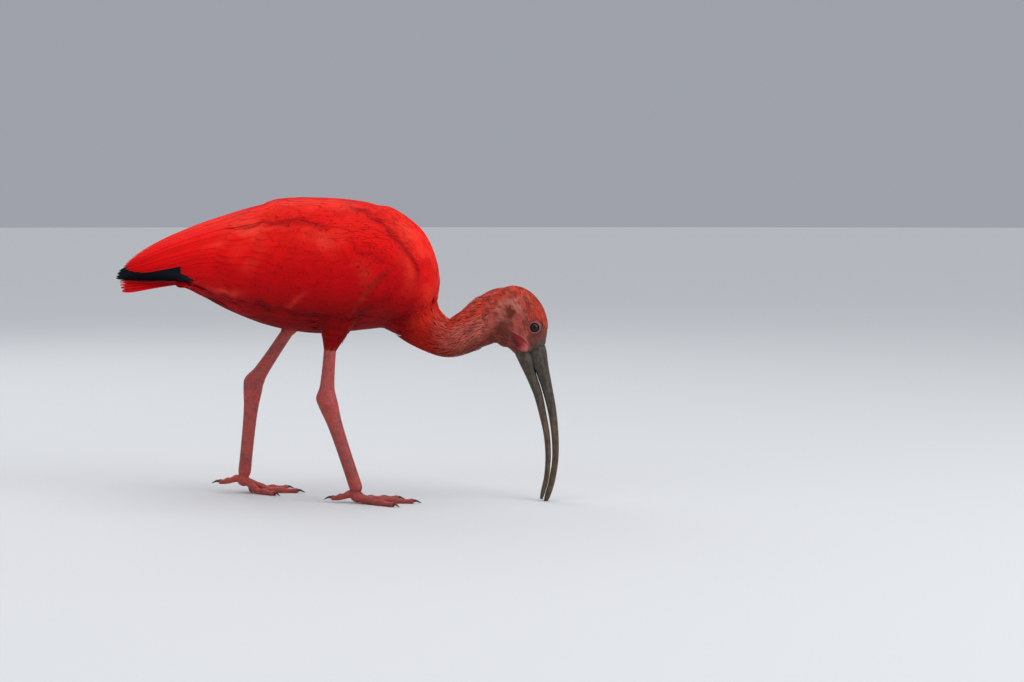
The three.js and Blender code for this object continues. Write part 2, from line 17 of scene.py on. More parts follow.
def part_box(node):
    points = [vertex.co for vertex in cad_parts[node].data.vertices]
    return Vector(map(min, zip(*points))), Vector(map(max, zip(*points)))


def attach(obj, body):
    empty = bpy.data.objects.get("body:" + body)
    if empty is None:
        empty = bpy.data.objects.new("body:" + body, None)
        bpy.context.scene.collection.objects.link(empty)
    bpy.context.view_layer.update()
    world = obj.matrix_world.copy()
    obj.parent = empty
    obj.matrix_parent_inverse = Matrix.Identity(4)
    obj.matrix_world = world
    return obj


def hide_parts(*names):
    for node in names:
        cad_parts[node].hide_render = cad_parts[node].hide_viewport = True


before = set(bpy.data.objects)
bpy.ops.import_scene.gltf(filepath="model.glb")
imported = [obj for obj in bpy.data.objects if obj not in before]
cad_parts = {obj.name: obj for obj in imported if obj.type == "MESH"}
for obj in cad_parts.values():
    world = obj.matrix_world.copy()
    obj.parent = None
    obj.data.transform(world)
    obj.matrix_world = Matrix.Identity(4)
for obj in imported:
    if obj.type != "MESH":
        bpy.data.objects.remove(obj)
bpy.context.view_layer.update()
rng = np.random.default_rng(2141)

# driving dimensions, in millimetres
TAIL_END = -112.0  # where the torso's solid starts
TARSUS = 91.5
EYE_RADIUS = 4.6
BODY_COAT = 2.6  # depth of the plumage over the skin
WING_COAT = 5.0  # over the flight feathers' roots
ARM_COAT = 3.0  # over the folded arm
NECK_COAT = 2.4
THIGH_COAT = 1.2
HEAD_COAT = 1.1
SIDES = {"right": -1, "left": 1}

# Rows are [x, top z, bottom z, half width], from the tail end to the breast.
TORSO_ROWS = [
    [-112, 202.5, 199.5, 2],
    [-106, 208, 197.5, 9],
    [-90, 226, 188.5, 21],
    [-58, 253, 172.5, 34],
    [-24, 271, 160.5, 43],
    [17, 281.5, 154.5, 47.5],
    [60, 279, 158, 49.5],
    [90, 269, 162, 47.5],
    [110, 255.5, 168, 41],
    [122, 240, 176, 31],
    [129, 222, 186, 17],
    [131.5, 204, 202, 1],
]
# The outside of the folded wings, from the tips of the flight feathers to the bend of the wing.
WING_ROWS = [
    [-172, 220, 200.5, 10.5],
    [-160, 227.5, 199, 15],
    [-144, 237, 197.5, 20.5],
    [-122, 248.5, 194.5, 27.5],
    [-90, 261.5, 188, 38],
    [-58, 272, 172.5, 47.5],
    [-24, 283.5, 160.5, 54.5],
    [17, 285.5, 154.5, 58],
    [60, 281.5, 157.5, 57.5],
    [90, 270.5, 162, 51],
    [112, 256, 168, 41],
]
EQUATOR = 0.55  # share of a section's height at which it is widest
# Rows are [x, y, z, radius in the plane of the bend, half width], from inside the breast to inside the head.
NECK_ROWS = [
    [84, 0, 196, 36, 33],
    [100, 0, 180, 30, 28],
    [115.8, -0.5, 161.9, 21.5, 21],
    [138, -1.5, 150.2, 17.7, 17.3],
    [157.3, -2.5, 156.9, 19.6, 17],
    [173.5, -3.5, 166, 23.2, 16.5],
    [187, -4, 175, 23.6, 16.2],
    [199, -4.4, 178.8, 21.2, 15],
]

# The head hangs from its crown to the base of the bill, and is rolled so that the bill leans to the right.
HEAD_TOP = np.array([193.0, 0, 198])
HEAD_AXIS = np.array([0.44, 0, -0.898])
HEAD_FRONT = np.array([0.898, 0, 0.44])
HEAD_PIVOT = np.array([190.0, 0, 190])
HEAD_ROLL = math.radians(-6)
HEAD_SHIFT = np.array([0, -4.0, 0])
# Rows are [along, forehead reach, throat reach, half width].
HEAD_ROWS = [
    [0.4, 1.5, 4.5, 2],
    [2.8, 8, 15, 9],
    [9, 15.2, 19.5, 14],
    [18.5, 20.4, 22.5, 16.5],
    [31, 22.7, 25, 16.8],
    [43, 21.3, 30.4, 15],
    [52, 17.5, 23.6, 12.2],
    [60, 11.8, 19.8, 9.6],
    [64, 9.3, 18.2, 8.2],
]
EYE_PLACE = (45.8, 10.6, 6.6)  # along the head, out, and to the front
GAPE_PLACE = (51, 8.8, -12)
GAPE_SIZE = (4.6, 3.2, 11)
GAPE_TURN = 0.2

# Rows are [x, y, z, half depth, half width], from inside the face to the tip.
BILL_UPPER_ROWS = [
    [220.6, 0, 152, 5.6, 5.6],
    [222.1, 0, 144, 6.6, 6.9],
    [223.2, 0, 137, 7.4, 7.5],
    [226.2, 0, 122, 6.4, 6.9],
    [230.9, 0, 104, 5, 5.6],
    [235.3, 0, 84, 4.1, 4.8],
    [238.1, 0, 62, 3.4, 4.1],
    [238.6, 0, 40, 3, 3.6],
    [236, 0, 20, 2.8, 3.3],
    [231.8, 0, 5, 2.5, 3.1],
    [229.4, 0, -1.6, 1.5, 2],
]
BILL_LOWER_ROWS = [
    [207, 0, 139.5, 7, 7.2],
    [211.2, 0, 128.5, 6.2, 6.7],
    [216.4, 0, 114.8, 4.9, 5.6],
    [222.5, 0, 98, 4.1, 4.7],
    [227, 0, 79, 3.4, 3.9],
    [230.6, 0, 60, 2.9, 3.3],
    [231.8, 0, 40, 2.6, 3],
    [230.2, 0, 22, 2.2, 2.7],
    [226.9, 0, 8, 1.9, 2.4],
    [225.2, 0, 0.8, 1.1, 1.5],
]
NOSTRIL = (122, 133)  # heights between which the nostril lies
NOSTRIL_TURN = 52  # degrees from the bill's ridge

# Each leg from the knee inside the body down. Step is the way from the ankle to the toe joint.
LEGS = {
    "right": {
        "knee": np.array([40.0, -24, 182]),
        "feathers": np.array([29.7, -24.2, 141]),
        "ankle": np.array([26, -24, 95.8]),
        "step": [29.5, -14],
        "turn": -4,
        "hind_rise": 2.5,
    },
    "left": {
        "knee": np.array([12.0, 22, 190]),
        "feathers": np.array([-16, 26.5, 153]),
        "ankle": np.array([-48.0, 31, 106]),
        "step": [-10.5, 7],
        "turn": -6,
        "hind_rise": 8,
    },
}
# Rows are [share of the length, radius fore and aft, half width].
THIGH_ROWS = [
    [0, 19, 16],
    [0.5, 12.4, 11],
    [0.65, 10.6, 9.4],
    [0.8, 8.8, 7.9],
    [1, 6.4, 5.7],
    [1.12, 4.6, 4.1],
]
SHANK_ROWS = [[0, 5.7, 4.9], [0.45, 5.9, 4.9], [0.8, 6.9, 5.6], [0.92, 8.6, 6.5], [1, 9.6, 7]]
TARSUS_ROWS = [
    [0, 9.6, 7],
    [0.1, 8.8, 6.3],
    [0.25, 7.1, 5.2],
    [0.45, 6.3, 4.7],
    [0.75, 6, 4.6],
    [0.9, 6.1, 4.8],
    [0.96, 5.9, 4.8],
    [1, 4.4, 3.8],
]
TOE_TURNS = {"hind": 177, "inner": 33, "middle": 0, "outer": -34}
TOE_LENGTHS = {"hind": 24, "inner": 41, "middle": 52, "outer": 44}
TOE_BASE = 3.8  # radius at the root
TOE_TIP = 2.3
TOE_PADS = 3
TOE_SWELL = 0.35  # how far the pads swell a toe
SOLE = 0.35  # how far a toe is pressed flat on the floor
HIND_DROP = 1  # how far below the toe joint the hind toe starts
FRONT_DROP = 4.5
WEB_REACH = 10.4
WEB_THICKNESS = 1.6
CLAW_LENGTH = 7
BALL = np.array([6.4, 6, 5.2])  # reach of the foot's ball along x, y and z
BALL_DROP = 4.4
ANKLE = np.array([9.6, 7.1, 8.8])
THROAT_PLACE = np.array([183.5, -4.6, 155])
THROAT_SIZE = np.array([10, 9, 8])


# numbers and rows
def smooth(value, low, high):
    """0 below low, 1 above high, and an even rise between."""
    t = np.clip((np.asarray(value, float) - low) / (high - low), 0, 1)
    return t * t * (3 - 2 * t)


def lerp(a, b, share):
    return a + (b - a) * share


def unit(vectors):
    return vectors / np.maximum(np.linalg.norm(vectors, axis=-1, keepdims=True), 1e-9)


def rows_at(rows, share):
    """Catmull-Rom through rows, read at shares from 0 to 1."""
    rows = np.asarray(rows, float)
    place = np.clip(np.asarray(share, float), 0, 1) * (len(rows) - 1)
    i = np.minimum(place.astype(int), len(rows) - 2)
    t = (place - i)[..., None]
    a, b, c, d = (rows[np.clip(i + k, 0, len(rows) - 1)] for k in (-1, 0, 1, 2))
    slope_in, slope_out = (c - a) / 2, (d - b) / 2
    t2, t3 = t * t, t * t * t
    start = (2 * t3 - 3 * t2 + 1) * b + (t3 - 2 * t2 + t) * slope_in
    return start + (3 * t2 - 2 * t3) * c + (t3 - t2) * slope_out


def reader(rows, samples=1500):
    """A function that reads rows by their first value."""
    table = rows_at(rows, np.linspace(0, 1, samples)).T
    return lambda x: np.stack([np.interp(x, table[0], column) for column in table], -1)


torso_row = reader(TORSO_ROWS)
wing_row = reader(WING_ROWS)


# meshes from arrays
SHIFT = np.array([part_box("torso")[0].x * 1000 - TAIL_END, sum(c.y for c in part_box("torso")) * 500, 0])


def place(points):
    """From the bird's millimetres to the frame's metres."""
    return (np.asarray(points, float) + SHIFT) / 1000


def new_mesh(name, points, polygons):
    """An object from points in millimetres and arrays of polygons, each array with one corner count."""
    mesh = bpy.data.meshes.new(name)
    points = place(points)
    corners = np.concatenate([np.asarray(p).ravel() for p in polygons])
    counts = np.concatenate([np.full(len(p), np.asarray(p).shape[1]) for p in polygons])
    starts = np.concatenate([[0], np.cumsum(counts)[:-1]])
    mesh.vertices.add(len(points))
    mesh.vertices.foreach_set("co", points.astype(np.float32).ravel())
    mesh.loops.add(len(corners))
    mesh.loops.foreach_set("vertex_index", corners.astype(np.int32))
    mesh.polygons.add(len(counts))
    mesh.polygons.foreach_set("loop_start", starts.astype(np.int32))
    mesh.polygons.foreach_set("use_smooth", np.ones(len(counts), bool))
    mesh.update(calc_edges=True)
    mesh.validate()
    obj = bpy.data.objects.new(name, mesh)
    bpy.context.scene.collection.objects.link(obj)
    return obj


def points_of(mesh):
    """A mesh's points in the bird's millimetres."""
    co = np.empty(len(mesh.vertices) * 3, np.float32)
    mesh.vertices.foreach_get("co", co)
    return co.reshape(-1, 3).astype(float) * 1000 - SHIFT


def paint(mesh, name, colours):
    """A colour for each point."""
    layer = mesh.color_attributes.new(name, "FLOAT_COLOR", "POINT")
    rgba = np.ones((len(colours), 4), np.float32)
    rgba[:, :3] = colours
    layer.data.foreach_set("color", rgba.ravel())


def finish_piece(piece, material, nodes):
    """Gives a piece its material, and tells the frame what it stands for and rides on."""
    piece.data.materials.append(material)
    if nodes:
        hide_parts(*nodes)
    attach(piece, "root")


def linear(*srgb):
    """A screen colour from 0 to 255 as the light it stands for."""
    c = np.asarray(srgb, float) / 255
    return np.where(c <= 0.04045, c / 12.92, ((c + 0.055) / 1.055) ** 2.4)


def loft(rings):
    """Points and polygons of a closed surface through rings, an array of ring, point and place."""
    count, n = rings.shape[:2]
    points = rings.reshape(-1, 3)
    ends = np.stack([rings[0].mean(0), rings[-1].mean(0)])
    k = np.arange(n)
    step = np.arange(count - 1)[:, None] * n
    a, b = step + k, step + (k + 1) % n
    quads = np.stack([a, b, b + n, a + n], -1).reshape(-1, 4)
    first = np.stack([np.full(n, count * n), (k + 1) % n, k], -1)
    last = np.stack([np.full(n, count * n + 1), (count - 1) * n + k, (count - 1) * n + (k + 1) % n], -1)
    return np.concatenate([points, ends]), [quads, np.concatenate([first, last])]


def circle(centre, side, up, half, up_reach, down_reach, count):
    """Rings of egg-shaped section round many centres at once."""
    angle = 2 * np.pi * np.arange(count) / count
    c, s = np.cos(angle), np.sin(angle)
    reach = np.where(c > 0, np.asarray(up_reach)[:, None], np.asarray(down_reach)[:, None])
    across = np.asarray(half)[:, None] * s
    return centre[:, None] + side[:, None] * across[..., None] + up[:, None] * (reach * c)[..., None]


def tube_frames(rows, shares, step=0.01):
    """Centres, ways along, sides and ups of a tube whose side is kept level."""
    before, centre, after = (
        rows_at(rows, share)[..., :3]
        for share in (np.maximum(0, shares - step), shares, np.minimum(1, shares + step))
    )
    along = unit(after - before)
    side = unit(np.array([0.0, 1, 0]) - along * along[..., 1:2])
    return centre, along, side, np.cross(along, side)


def tube(rows, steps, count, grow=0.0):
    """A closed tube of round or oval section along rows."""
    shares = np.linspace(0, 1, steps + 1)
    row = rows_at(rows, shares)
    centre, _, side, up = tube_frames(rows, shares)
    radius = row[:, 3] + grow
    return loft(circle(centre, side, up, row[:, -1] + grow, radius, radius, count))


def gather(*parts):
    """Several sets of points and polygons as one."""
    points, polygons, offset = [], [], 0
    for some, faces in parts:
        points.append(some)
        polygons += [f + offset for f in faces]
        offset += len(some)
    return np.concatenate(points), polygons


# places on the bird
def head_place(along, side, front):
    """A place in the head: along it from the crown, out to the side, and towards the forehead."""
    along, side, front = np.broadcast_arrays(*(np.asarray(v, float) for v in (along, side, front)))
    points = HEAD_TOP + along[..., None] * HEAD_AXIS + front[..., None] * HEAD_FRONT
    points = points + side[..., None] * np.array([0.0, 1, 0])
    return roll(points)


def turned_about_x(p, angle):
    c, s = math.cos(angle), math.sin(angle)
    return np.stack([p[..., 0], c * p[..., 1] - s * p[..., 2], s * p[..., 1] + c * p[..., 2]], -1)


def roll(points):
    """Turns points of the upright head into the rolled one."""
    return turned_about_x(points - HEAD_PIVOT, HEAD_ROLL) + HEAD_PIVOT + HEAD_SHIFT


def in_head(points):
    """The reverse of head_place: along, side and front of each point."""
    p = turned_about_x(points - HEAD_PIVOT - HEAD_SHIFT, -HEAD_ROLL) + HEAD_PIVOT - HEAD_TOP
    return p @ HEAD_AXIS, p[..., 1], p @ HEAD_FRONT


def section(row, degrees, height):
    """Points of a body section. A row is [x, top, bottom, half], and degrees run down from the back."""
    _, top, bottom, half = np.moveaxis(row, -1, 0)
    angle = np.radians(degrees)
    middle = lerp(bottom, top, EQUATOR)
    reach = np.where(np.cos(angle) > 0, top - middle, middle - bottom)
    out = unit(np.stack([np.sin(angle) / half, np.cos(angle) / reach], -1))
    y = half * np.sin(angle) + height * out[..., 0]
    return y, middle + reach * np.cos(angle) + height * out[..., 1]


def on_wing(x, degrees, height, side):
    """A place on the outside of a folded wing."""
    x, degrees, height = np.broadcast_arrays(*(np.asarray(v, float) for v in (x, degrees, height)))
    y, z = section(wing_row(x), degrees, height)
    return np.stack([x, side * np.maximum(y, 0.3), z], -1)


# skin
WING_FRONT = (112, 84)  # x where the folded wing starts to stand out from the breast, and where it is whole
WING_REAR = (-70, -20)
WING_UNDER = (150, 130)  # degrees, from where the belly starts up to the wing


def wing_share(x, around):
    """1 where the folded wing makes the body's outline, and 0 off it."""
    share = smooth(x, WING_REAR[0], WING_REAR[1]) * smooth(-x, -WING_FRONT[0], -WING_FRONT[1])
    return share * smooth(-around, -WING_UNDER[0], -WING_UNDER[1])


def wing_coat(x, around):
    return lerp(WING_COAT, ARM_COAT, smooth(x, 15, 50) * smooth(around, 50, 75))


def body_rings(stations, count):
    """The body's skin, with the folded arm under the wing's feathers swelling its sides."""
    shares = np.linspace(0, 1, stations)
    rows = rows_at(TORSO_ROWS, shares)
    x = rows[:, 0]
    degrees = 360 * np.arange(count) / count
    around = np.minimum(degrees, 360 - degrees)
    side = np.where(degrees > 180, -1.0, 1.0)
    taper = np.minimum(1, np.minimum(rows[:, 3], (rows[:, 1] - rows[:, 2]) / 2) / (2 * BODY_COAT))
    ty, tz = section(rows[:, None], around[None], (-BODY_COAT * taper)[:, None])
    wy, wz = section(wing_row(x)[:, None], around[None], -wing_coat(x[:, None], around[None]))
    share = wing_share(x[:, None], around[None])
    y, z = lerp(ty, wy, share), lerp(tz, wz, share)
    x = x - BODY_COAT * smooth(x, 108, 131)
    return np.stack([np.broadcast_to(x[:, None], y.shape), y * side, z], -1)


def head_rings(grow, steps, count):
    """The head's sections, from the crown to inside the bill's base."""
    rows = rows_at(HEAD_ROWS, np.linspace(0, 1, steps))
    grow = grow * smooth(-rows[:, :1], -58, -46)
    angle = 2 * np.pi * np.arange(count) / count
    c, s = np.cos(angle), np.sin(angle)
    front = np.where(c > 0, rows[:, 1:2] + grow, rows[:, 2:3] + grow) * c
    return head_place(rows[:, 0:1] + 0 * c, (rows[:, 3:4] + grow) * s, front)


def ball_rings(steps, count, margin, reach=(1, 1, 1)):
    """Rings of a ball or egg, as two ways round and the way from pole to pole."""
    polar = np.linspace(margin, np.pi - margin, steps)[:, None]
    turn = 2 * np.pi * np.arange(count)[None] / count
    round_x, round_y = (r * np.sin(polar) * way(turn) for r, way in zip(reach, (np.cos, np.sin)))
    return round_x, round_y, reach[2] * np.cos(polar) + 0 * turn


def gape_shape(side):
    """The bare, swollen skin behind the corner of the mouth."""
    front, out, along = ball_rings(24, 24, 0.02, GAPE_SIZE * np.array([1, 1, -1]))
    c, s = math.cos(GAPE_TURN), math.sin(GAPE_TURN)
    front, along = c * front + s * along, -s * front + c * along
    return loft(head_place(GAPE_PLACE[0] + along, side * GAPE_PLACE[1] + out, GAPE_PLACE[2] + front))


def limb(start, end, rows, steps, grow=0.0):
    """A length of leg between two places, its rows read by shares of that length."""
    placed = [[*(start + (end - start) * share), radius, half] for share, radius, half in rows]
    return tube(placed, steps, 24, grow)


def toe_joint(leg):
    """Where the tarsus ends and the toes start."""
    ahead, out = leg["step"]
    return leg["ankle"] + [ahead, out, -math.sqrt(TARSUS**2 - ahead**2 - out**2)]


def heading_of(leg, side, turn):
    """The level way in which a toe points."""
    angle = math.radians(leg["turn"] - side * turn)
    return np.array([math.cos(angle), math.sin(angle), 0])


def toe_rows(leg, side, which):
    """A toe's rows, from inside the foot down to the floor and out to its tip."""
    joint, heading = toe_joint(leg), heading_of(leg, side, TOE_TURNS[which])
    hind = which == "hind"
    rise = leg["hind_rise"] if hind else 0
    top = joint[2] - (HIND_DROP if hind else FRONT_DROP)
    landing = 0.8 if hind else lerp(0.22, 0.5, float(smooth(joint[2], 9, 16)))
    share = np.linspace(0, 1, 10)
    radius = lerp(TOE_BASE, TOE_TIP, share) + TOE_SWELL * np.cos(share * 2 * TOE_PADS * np.pi)
    height = lerp(top, radius - SOLE + rise, smooth(share, 0, landing))
    at = joint + heading * (TOE_LENGTHS[which] * share)[:, None]
    return np.column_stack([at[:, :2], np.maximum(height, radius - SOLE), radius, radius])


def web_shape(leg, side, steps=5, count=17):
    """The skin between the roots of the front toes."""
    joint = toe_joint(leg)
    turns = np.linspace(TOE_TURNS["inner"], TOE_TURNS["outer"], count)
    bay = 1 - 0.35 * np.abs(np.sin(np.pi * turns / TOE_TURNS["outer"]))
    u = np.linspace(0, 1, steps)[:, None]
    ways = np.array([heading_of(leg, side, t) for t in turns])
    at = joint + ways[None] * lerp(2, WEB_REACH * bay, u)[..., None]
    height = lerp(joint[2] - 5.5, 1.2, smooth(u, 0, 0.9)) + 0 * bay
    upper, lower = at.copy(), at.copy()
    upper[..., 2], lower[..., 2] = height + WEB_THICKNESS / 2, height - WEB_THICKNESS / 2
    return loft(np.concatenate([upper, lower[:, ::-1]], 1))


def ball_shape(centre, radii):
    return loft(centre + np.stack(ball_rings(14, 18, 0.02), -1) * radii)


PULL_IN, PUSH_OUT = 0.5, -0.53  # shares of the way to the neighbours' middle, by turns


def relax(points, edges, rounds):
    """Evens out a surface without shrinking it."""
    counts = np.bincount(edges.ravel(), minlength=len(points))[:, None]
    for k in range(rounds * 2):
        total = np.zeros_like(points)
        for axis in range(3):
            total[:, axis] += np.bincount(edges[:, 0], points[edges[:, 1], axis], len(points))
            total[:, axis] += np.bincount(edges[:, 1], points[edges[:, 0], axis], len(points))
        points = points + (PULL_IN if k % 2 == 0 else PUSH_OUT) * (total / counts - points)
    return points


def edges_of(mesh):
    """The two points of each edge."""
    pairs = np.empty(len(mesh.edges) * 2, np.int32)
    mesh.edges.foreach_get("vertices", pairs)
    return pairs.reshape(-1, 2)


def welded(parts, voxel, rounds):
    """The parts' points and polygons as one evened surface with cells of the given size."""
    rough = new_mesh("rough", *gather(*parts))
    modifier = rough.modifiers.new("Voxels", "REMESH")
    modifier.mode = "VOXEL"
    modifier.voxel_size = voxel / 1000
    mesh = bpy.data.meshes.new_from_object(rough.evaluated_get(bpy.context.evaluated_depsgraph_get()))
    bpy.data.objects.remove(rough)
    points = relax(points_of(mesh), edges_of(mesh), rounds)
    quads = np.empty(len(mesh.loops), np.int32)
    mesh.loops.foreach_get("vertex_index", quads)
    return points, quads.reshape(-1, 4)


BODY_GRID = (120, 96)  # rings and corners
NECK_GRID = (60, 48)
HEAD_GRID = (60, 56)
THIGH_RINGS = 16
SHANK_RINGS = 20
TARSUS_RINGS = 30
TOE_GRID = (60, 18)
SHANK_TOP = 1.2  # how far the bare leg goes on inside the feathers, as a share of the shank


def flesh_parts():
    """The closed surfaces that weld into the skin of body, neck, head and thighs."""
    head = loft(head_rings(-HEAD_COAT, *HEAD_GRID))
    gapes = [gape_shape(side) for side in SIDES.values()]
    neck = tube(NECK_ROWS, *NECK_GRID, -NECK_COAT)
    throat = ball_shape(THROAT_PLACE, THROAT_SIZE)
    ends = [(leg["knee"], leg["feathers"]) for leg in LEGS.values()]
    thighs = [limb(knee, feathers, THIGH_ROWS, THIGH_RINGS, -THIGH_COAT) for knee, feathers in ends]
    return [loft(body_rings(*BODY_GRID)), neck, head, throat, *gapes, *thighs]


def leg_parts(name):
    """The closed surfaces that weld into a bare leg, from inside the feathers down."""
    leg, side = LEGS[name], SIDES[name]
    top = lerp(leg["ankle"], leg["feathers"], SHANK_TOP)
    parts = [
        limb(top, leg["ankle"], SHANK_ROWS, SHANK_RINGS),
        limb(leg["ankle"], toe_joint(leg), TARSUS_ROWS, TARSUS_RINGS),
        ball_shape(toe_joint(leg) - [0, 0, BALL_DROP], BALL),
        ball_shape(leg["ankle"], ANKLE),
        web_shape(leg, side),
    ]
    return parts + [tube(toe_rows(leg, side, which), *TOE_GRID) for which in TOE_TURNS]


def refine(points, quads, picks):
    """Splits the faces whose points each of the functions picks, one after another."""
    bm = bmesh.new()
    verts = [bm.verts.new(p) for p in points]
    for quad in quads:
        bm.faces.new([verts[i] for i in quad])
    for near in picks:
        co = np.array([v.co for v in bm.verts])
        picked = near(co)
        bm.verts.index_update()
        edges = [e for e in bm.edges if picked[e.verts[0].index] and picked[e.verts[1].index]]
        bmesh.ops.subdivide_edges(bm, edges=edges, cuts=1, use_grid_fill=True, smooth=0.0)
    bmesh.ops.triangulate(bm, faces=[f for f in bm.faces if len(f.verts) > 4])
    bm.verts.index_update()
    points = np.array([v.co for v in bm.verts])
    faces = {3: [], 4: []}
    for f in bm.faces:
        faces[len(f.verts)].append([v.index for v in f.verts])
    bm.free()
    return points, [np.array(f) for f in faces.values() if f]


def from_eye(along, front):
    """How far a place in the head is from the eyes' axis."""
    return np.hypot(along - EYE_PLACE[0], front - EYE_PLACE[2])


def gape_shares(along, front):
    """A place across and down the bare skin behind the corner of the mouth."""
    c, s = math.cos(GAPE_TURN), math.sin(GAPE_TURN)
    f, a = front - GAPE_PLACE[2], along - GAPE_PLACE[0]
    return c * f - s * a, s * f + c * a


OPENING = EYE_RADIUS - 0.55  # radius of the hole between the lids
LID_WIDTH = 5.2
LID_HEIGHT = 0.25  # over the ball, at the opening
LID_PULL = (0.95, 0.3)  # how far points are drawn onto the opening's edge, and within what distance
SOCKET_GAP = 1.1  # from the ball in to the skin of the socket
# Rings round the opening: how far outside it, half width and height.
LID_RINGS = [(0.75, 0.55, 0.5), (2.0, 0.5, -0.3), (3.1, 0.5, 0.16)]


def sculpt_face(points):
    """Sets the eye sockets, the lids and the rings round the eye into the head."""
    along, side, front = in_head(points)
    hand, out = np.sign(side), np.abs(side)
    radial = from_eye(along, front)
    near = (out > 5) & (along > -2)
    # points near the edge of the lids are drawn onto it, so that it comes out round
    pull, reach = LID_PULL
    drawn_to = lerp(radial, OPENING, pull * np.exp(-(((radial - OPENING) / reach) ** 2)))
    drawn = np.where(near, drawn_to, radial)
    scale = drawn / np.maximum(radial, 0.01)
    along = EYE_PLACE[0] + (along - EYE_PLACE[0]) * scale
    front = EYE_PLACE[2] + (front - EYE_PLACE[2]) * scale
    ball = EYE_PLACE[1] + np.sqrt(np.maximum(EYE_RADIUS**2 - drawn**2, 0))
    socket = near & (drawn < OPENING)
    out = np.where(socket, np.minimum(out, ball - SOCKET_GAP), out)
    rim = EYE_PLACE[1] + math.sqrt(EYE_RADIUS**2 - OPENING**2) + LID_HEIGHT
    lid = near & (drawn >= OPENING) & (drawn < OPENING + LID_WIDTH)
    fade = smooth(-drawn, -(OPENING + LID_WIDTH), -(OPENING + 0.9))
    rings = sum(rise * np.exp(-(((drawn - OPENING - off) / half) ** 2)) for off, half, rise in LID_RINGS)
    return head_place(along, hand * np.where(lid, lerp(out, rim, fade) + rings, out), front)


def face_detail(points):
    """Fine wrinkles of the gape's skin, and the groove that carries the mouth's line into the face."""
    along, side, front = in_head(points)
    hand, out = np.sign(side), np.abs(side)
    across, down = gape_shares(along, front)
    off = np.hypot(across / (GAPE_SIZE[0] + 1.2), down / (GAPE_SIZE[2] + 1))
    inside = smooth(-off, -1.15, -0.75) * (out > 4)
    fold = 0.22 * np.sin(down * 2.4 + 1.3 * np.sin(across * 1.1)) + 0.16 * np.sin(across * 3.1 + down * 0.5)
    out = out + inside * fold * 0.7
    groove = np.exp(-(((across + GAPE_SIZE[0] * -0.95) / 0.8) ** 2)) * smooth(down, -8, -2) * (out > 4)
    out = out - 0.9 * groove * smooth(-np.abs(across), -9, -5)
    return head_place(along, hand * out, front)


# colours, as the light they stand for
SCARLET = linear(222, 6, 10)
SCARLET_TOP_HIGHLIGHT = linear(242, 50, 30)
SCARLET_HIGHLIGHT = linear(250, 72, 52)
SCARLET_DEEP = linear(178, 2, 10)
MAROON = linear(104, 2, 6)
CROWN = linear(216, 66, 44)
SALMON = linear(206, 104, 90)
CHEEK = linear(214, 132, 116)
ROSE = linear(180, 78, 70)
MOTTLE_AND_SHADE = linear(104, 54, 42)
BARE = linear(128, 50, 46)
LORES = linear(82, 42, 35)
LID = linear(150, 96, 90)
GAPE_RED = linear(140, 22, 30)
GAPE_PALE = linear(178, 88, 86)
GAPE_LINE = linear(170, 118, 112)
PAINTED_SHADE = linear(84, 24, 22)
LEG_RED = linear(184, 66, 57)
LEG_DARK = linear(132, 43, 41)
LEG_GREY = linear(140, 84, 90)
BLACK = linear(15, 22, 29)
BRIGHTEST = 0.9

# Folds of the plumage as seen from the side: a line of x and z, then half width, depth and the darkness of
# the painted shade in the fold.
FOLDS = [
    ([(44, 275), (63, 267), (81, 257), (90, 246), (102, 233), (111, 222), (113, 204)], 2.5, 0.8, 0.65),
    ([(56, 271), (74, 268), (89, 258), (104, 244), (115, 229), (120, 212)], 1.6, 0.5, 0.35),
    ([(-61, 252), (-30, 258), (5, 260), (25, 258.5)], 2.6, 0.8, 0.5),
    ([(-24, 252), (-9, 256.5), (14, 256), (37, 252)], 2.8, 0.9, 0.4),
    ([(48, 248), (56, 236), (71, 227), (85, 222)], 2.4, 0.6, 0.4),
    ([(58, 246), (70, 236), (88, 229)], 1.6, 0.4, 0.3),
    ([(89, 219), (74, 203), (61, 188), (43, 175)], 2.4, 1.1, 0.7),
    ([(98, 208), (86, 193), (72, 181)], 1.8, 0.6, 0.4),
    (
        [(-94, 194), (-73, 189), (-45, 185), (-18, 180), (9, 175), (37, 170.5), (56, 172.5), (78, 184)],
        3.0,
        1.2,
        0.75,
    ),
]
# Painted highlights, the same way: a line of x and z, half width and lightness.
PAINTED_HIGHLIGHTS = [
    ([(14, 249), (27, 243), (38, 245)], 7.0, 0.8),
    ([(30, 236), (33, 230)], 4.0, 0.5),
    ([(62, 219), (66, 206)], 6.0, 0.65),
    ([(84, 214), (66, 194), (50, 178)], 1.8, 0.7),
    ([(-80, 197), (-60, 195), (-48, 193)], 3.0, 0.6),
    ([(-36, 224), (-44, 216)], 4.0, 0.65),
    ([(-50, 236), (-56, 229)], 4.5, 0.5),
    ([(-64, 251), (-47, 256), (-28, 263)], 5.0, 0.6),
    ([(-58, 247), (-30, 252.5), (-2, 255)], 2.0, 0.6),
    ([(12, 193), (-12, 180)], 2.2, 0.45),
    ([(-84, 236), (-60, 241)], 3.0, 0.4),
    ([(-52, 258), (-40, 250), (-34, 240)], 7.0, 0.6),
    ([(88, 262), (100, 250), (106, 236)], 6.0, 0.5),
    ([(118, 206), (120, 188), (112, 176)], 6.0, 0.4),
    ([(98, 232), (106, 215), (104, 196)], 5.0, 0.45),
    ([(90, 262), (110, 244), (123, 222)], 5.0, 0.55),
    ([(-20, 275), (20, 277), (60, 272)], 4.0, 0.4),
]


def mix(a, b, share):
    """Colours between a and b, by a share for each point."""
    share = np.asarray(share)[..., None]
    return a * (1 - share) + b * share


def layered(colours, *layers):
    """Colours with others laid over them, each by its share."""
    for colour, share in layers:
        colours = mix(colours, colour, share)
    return colours


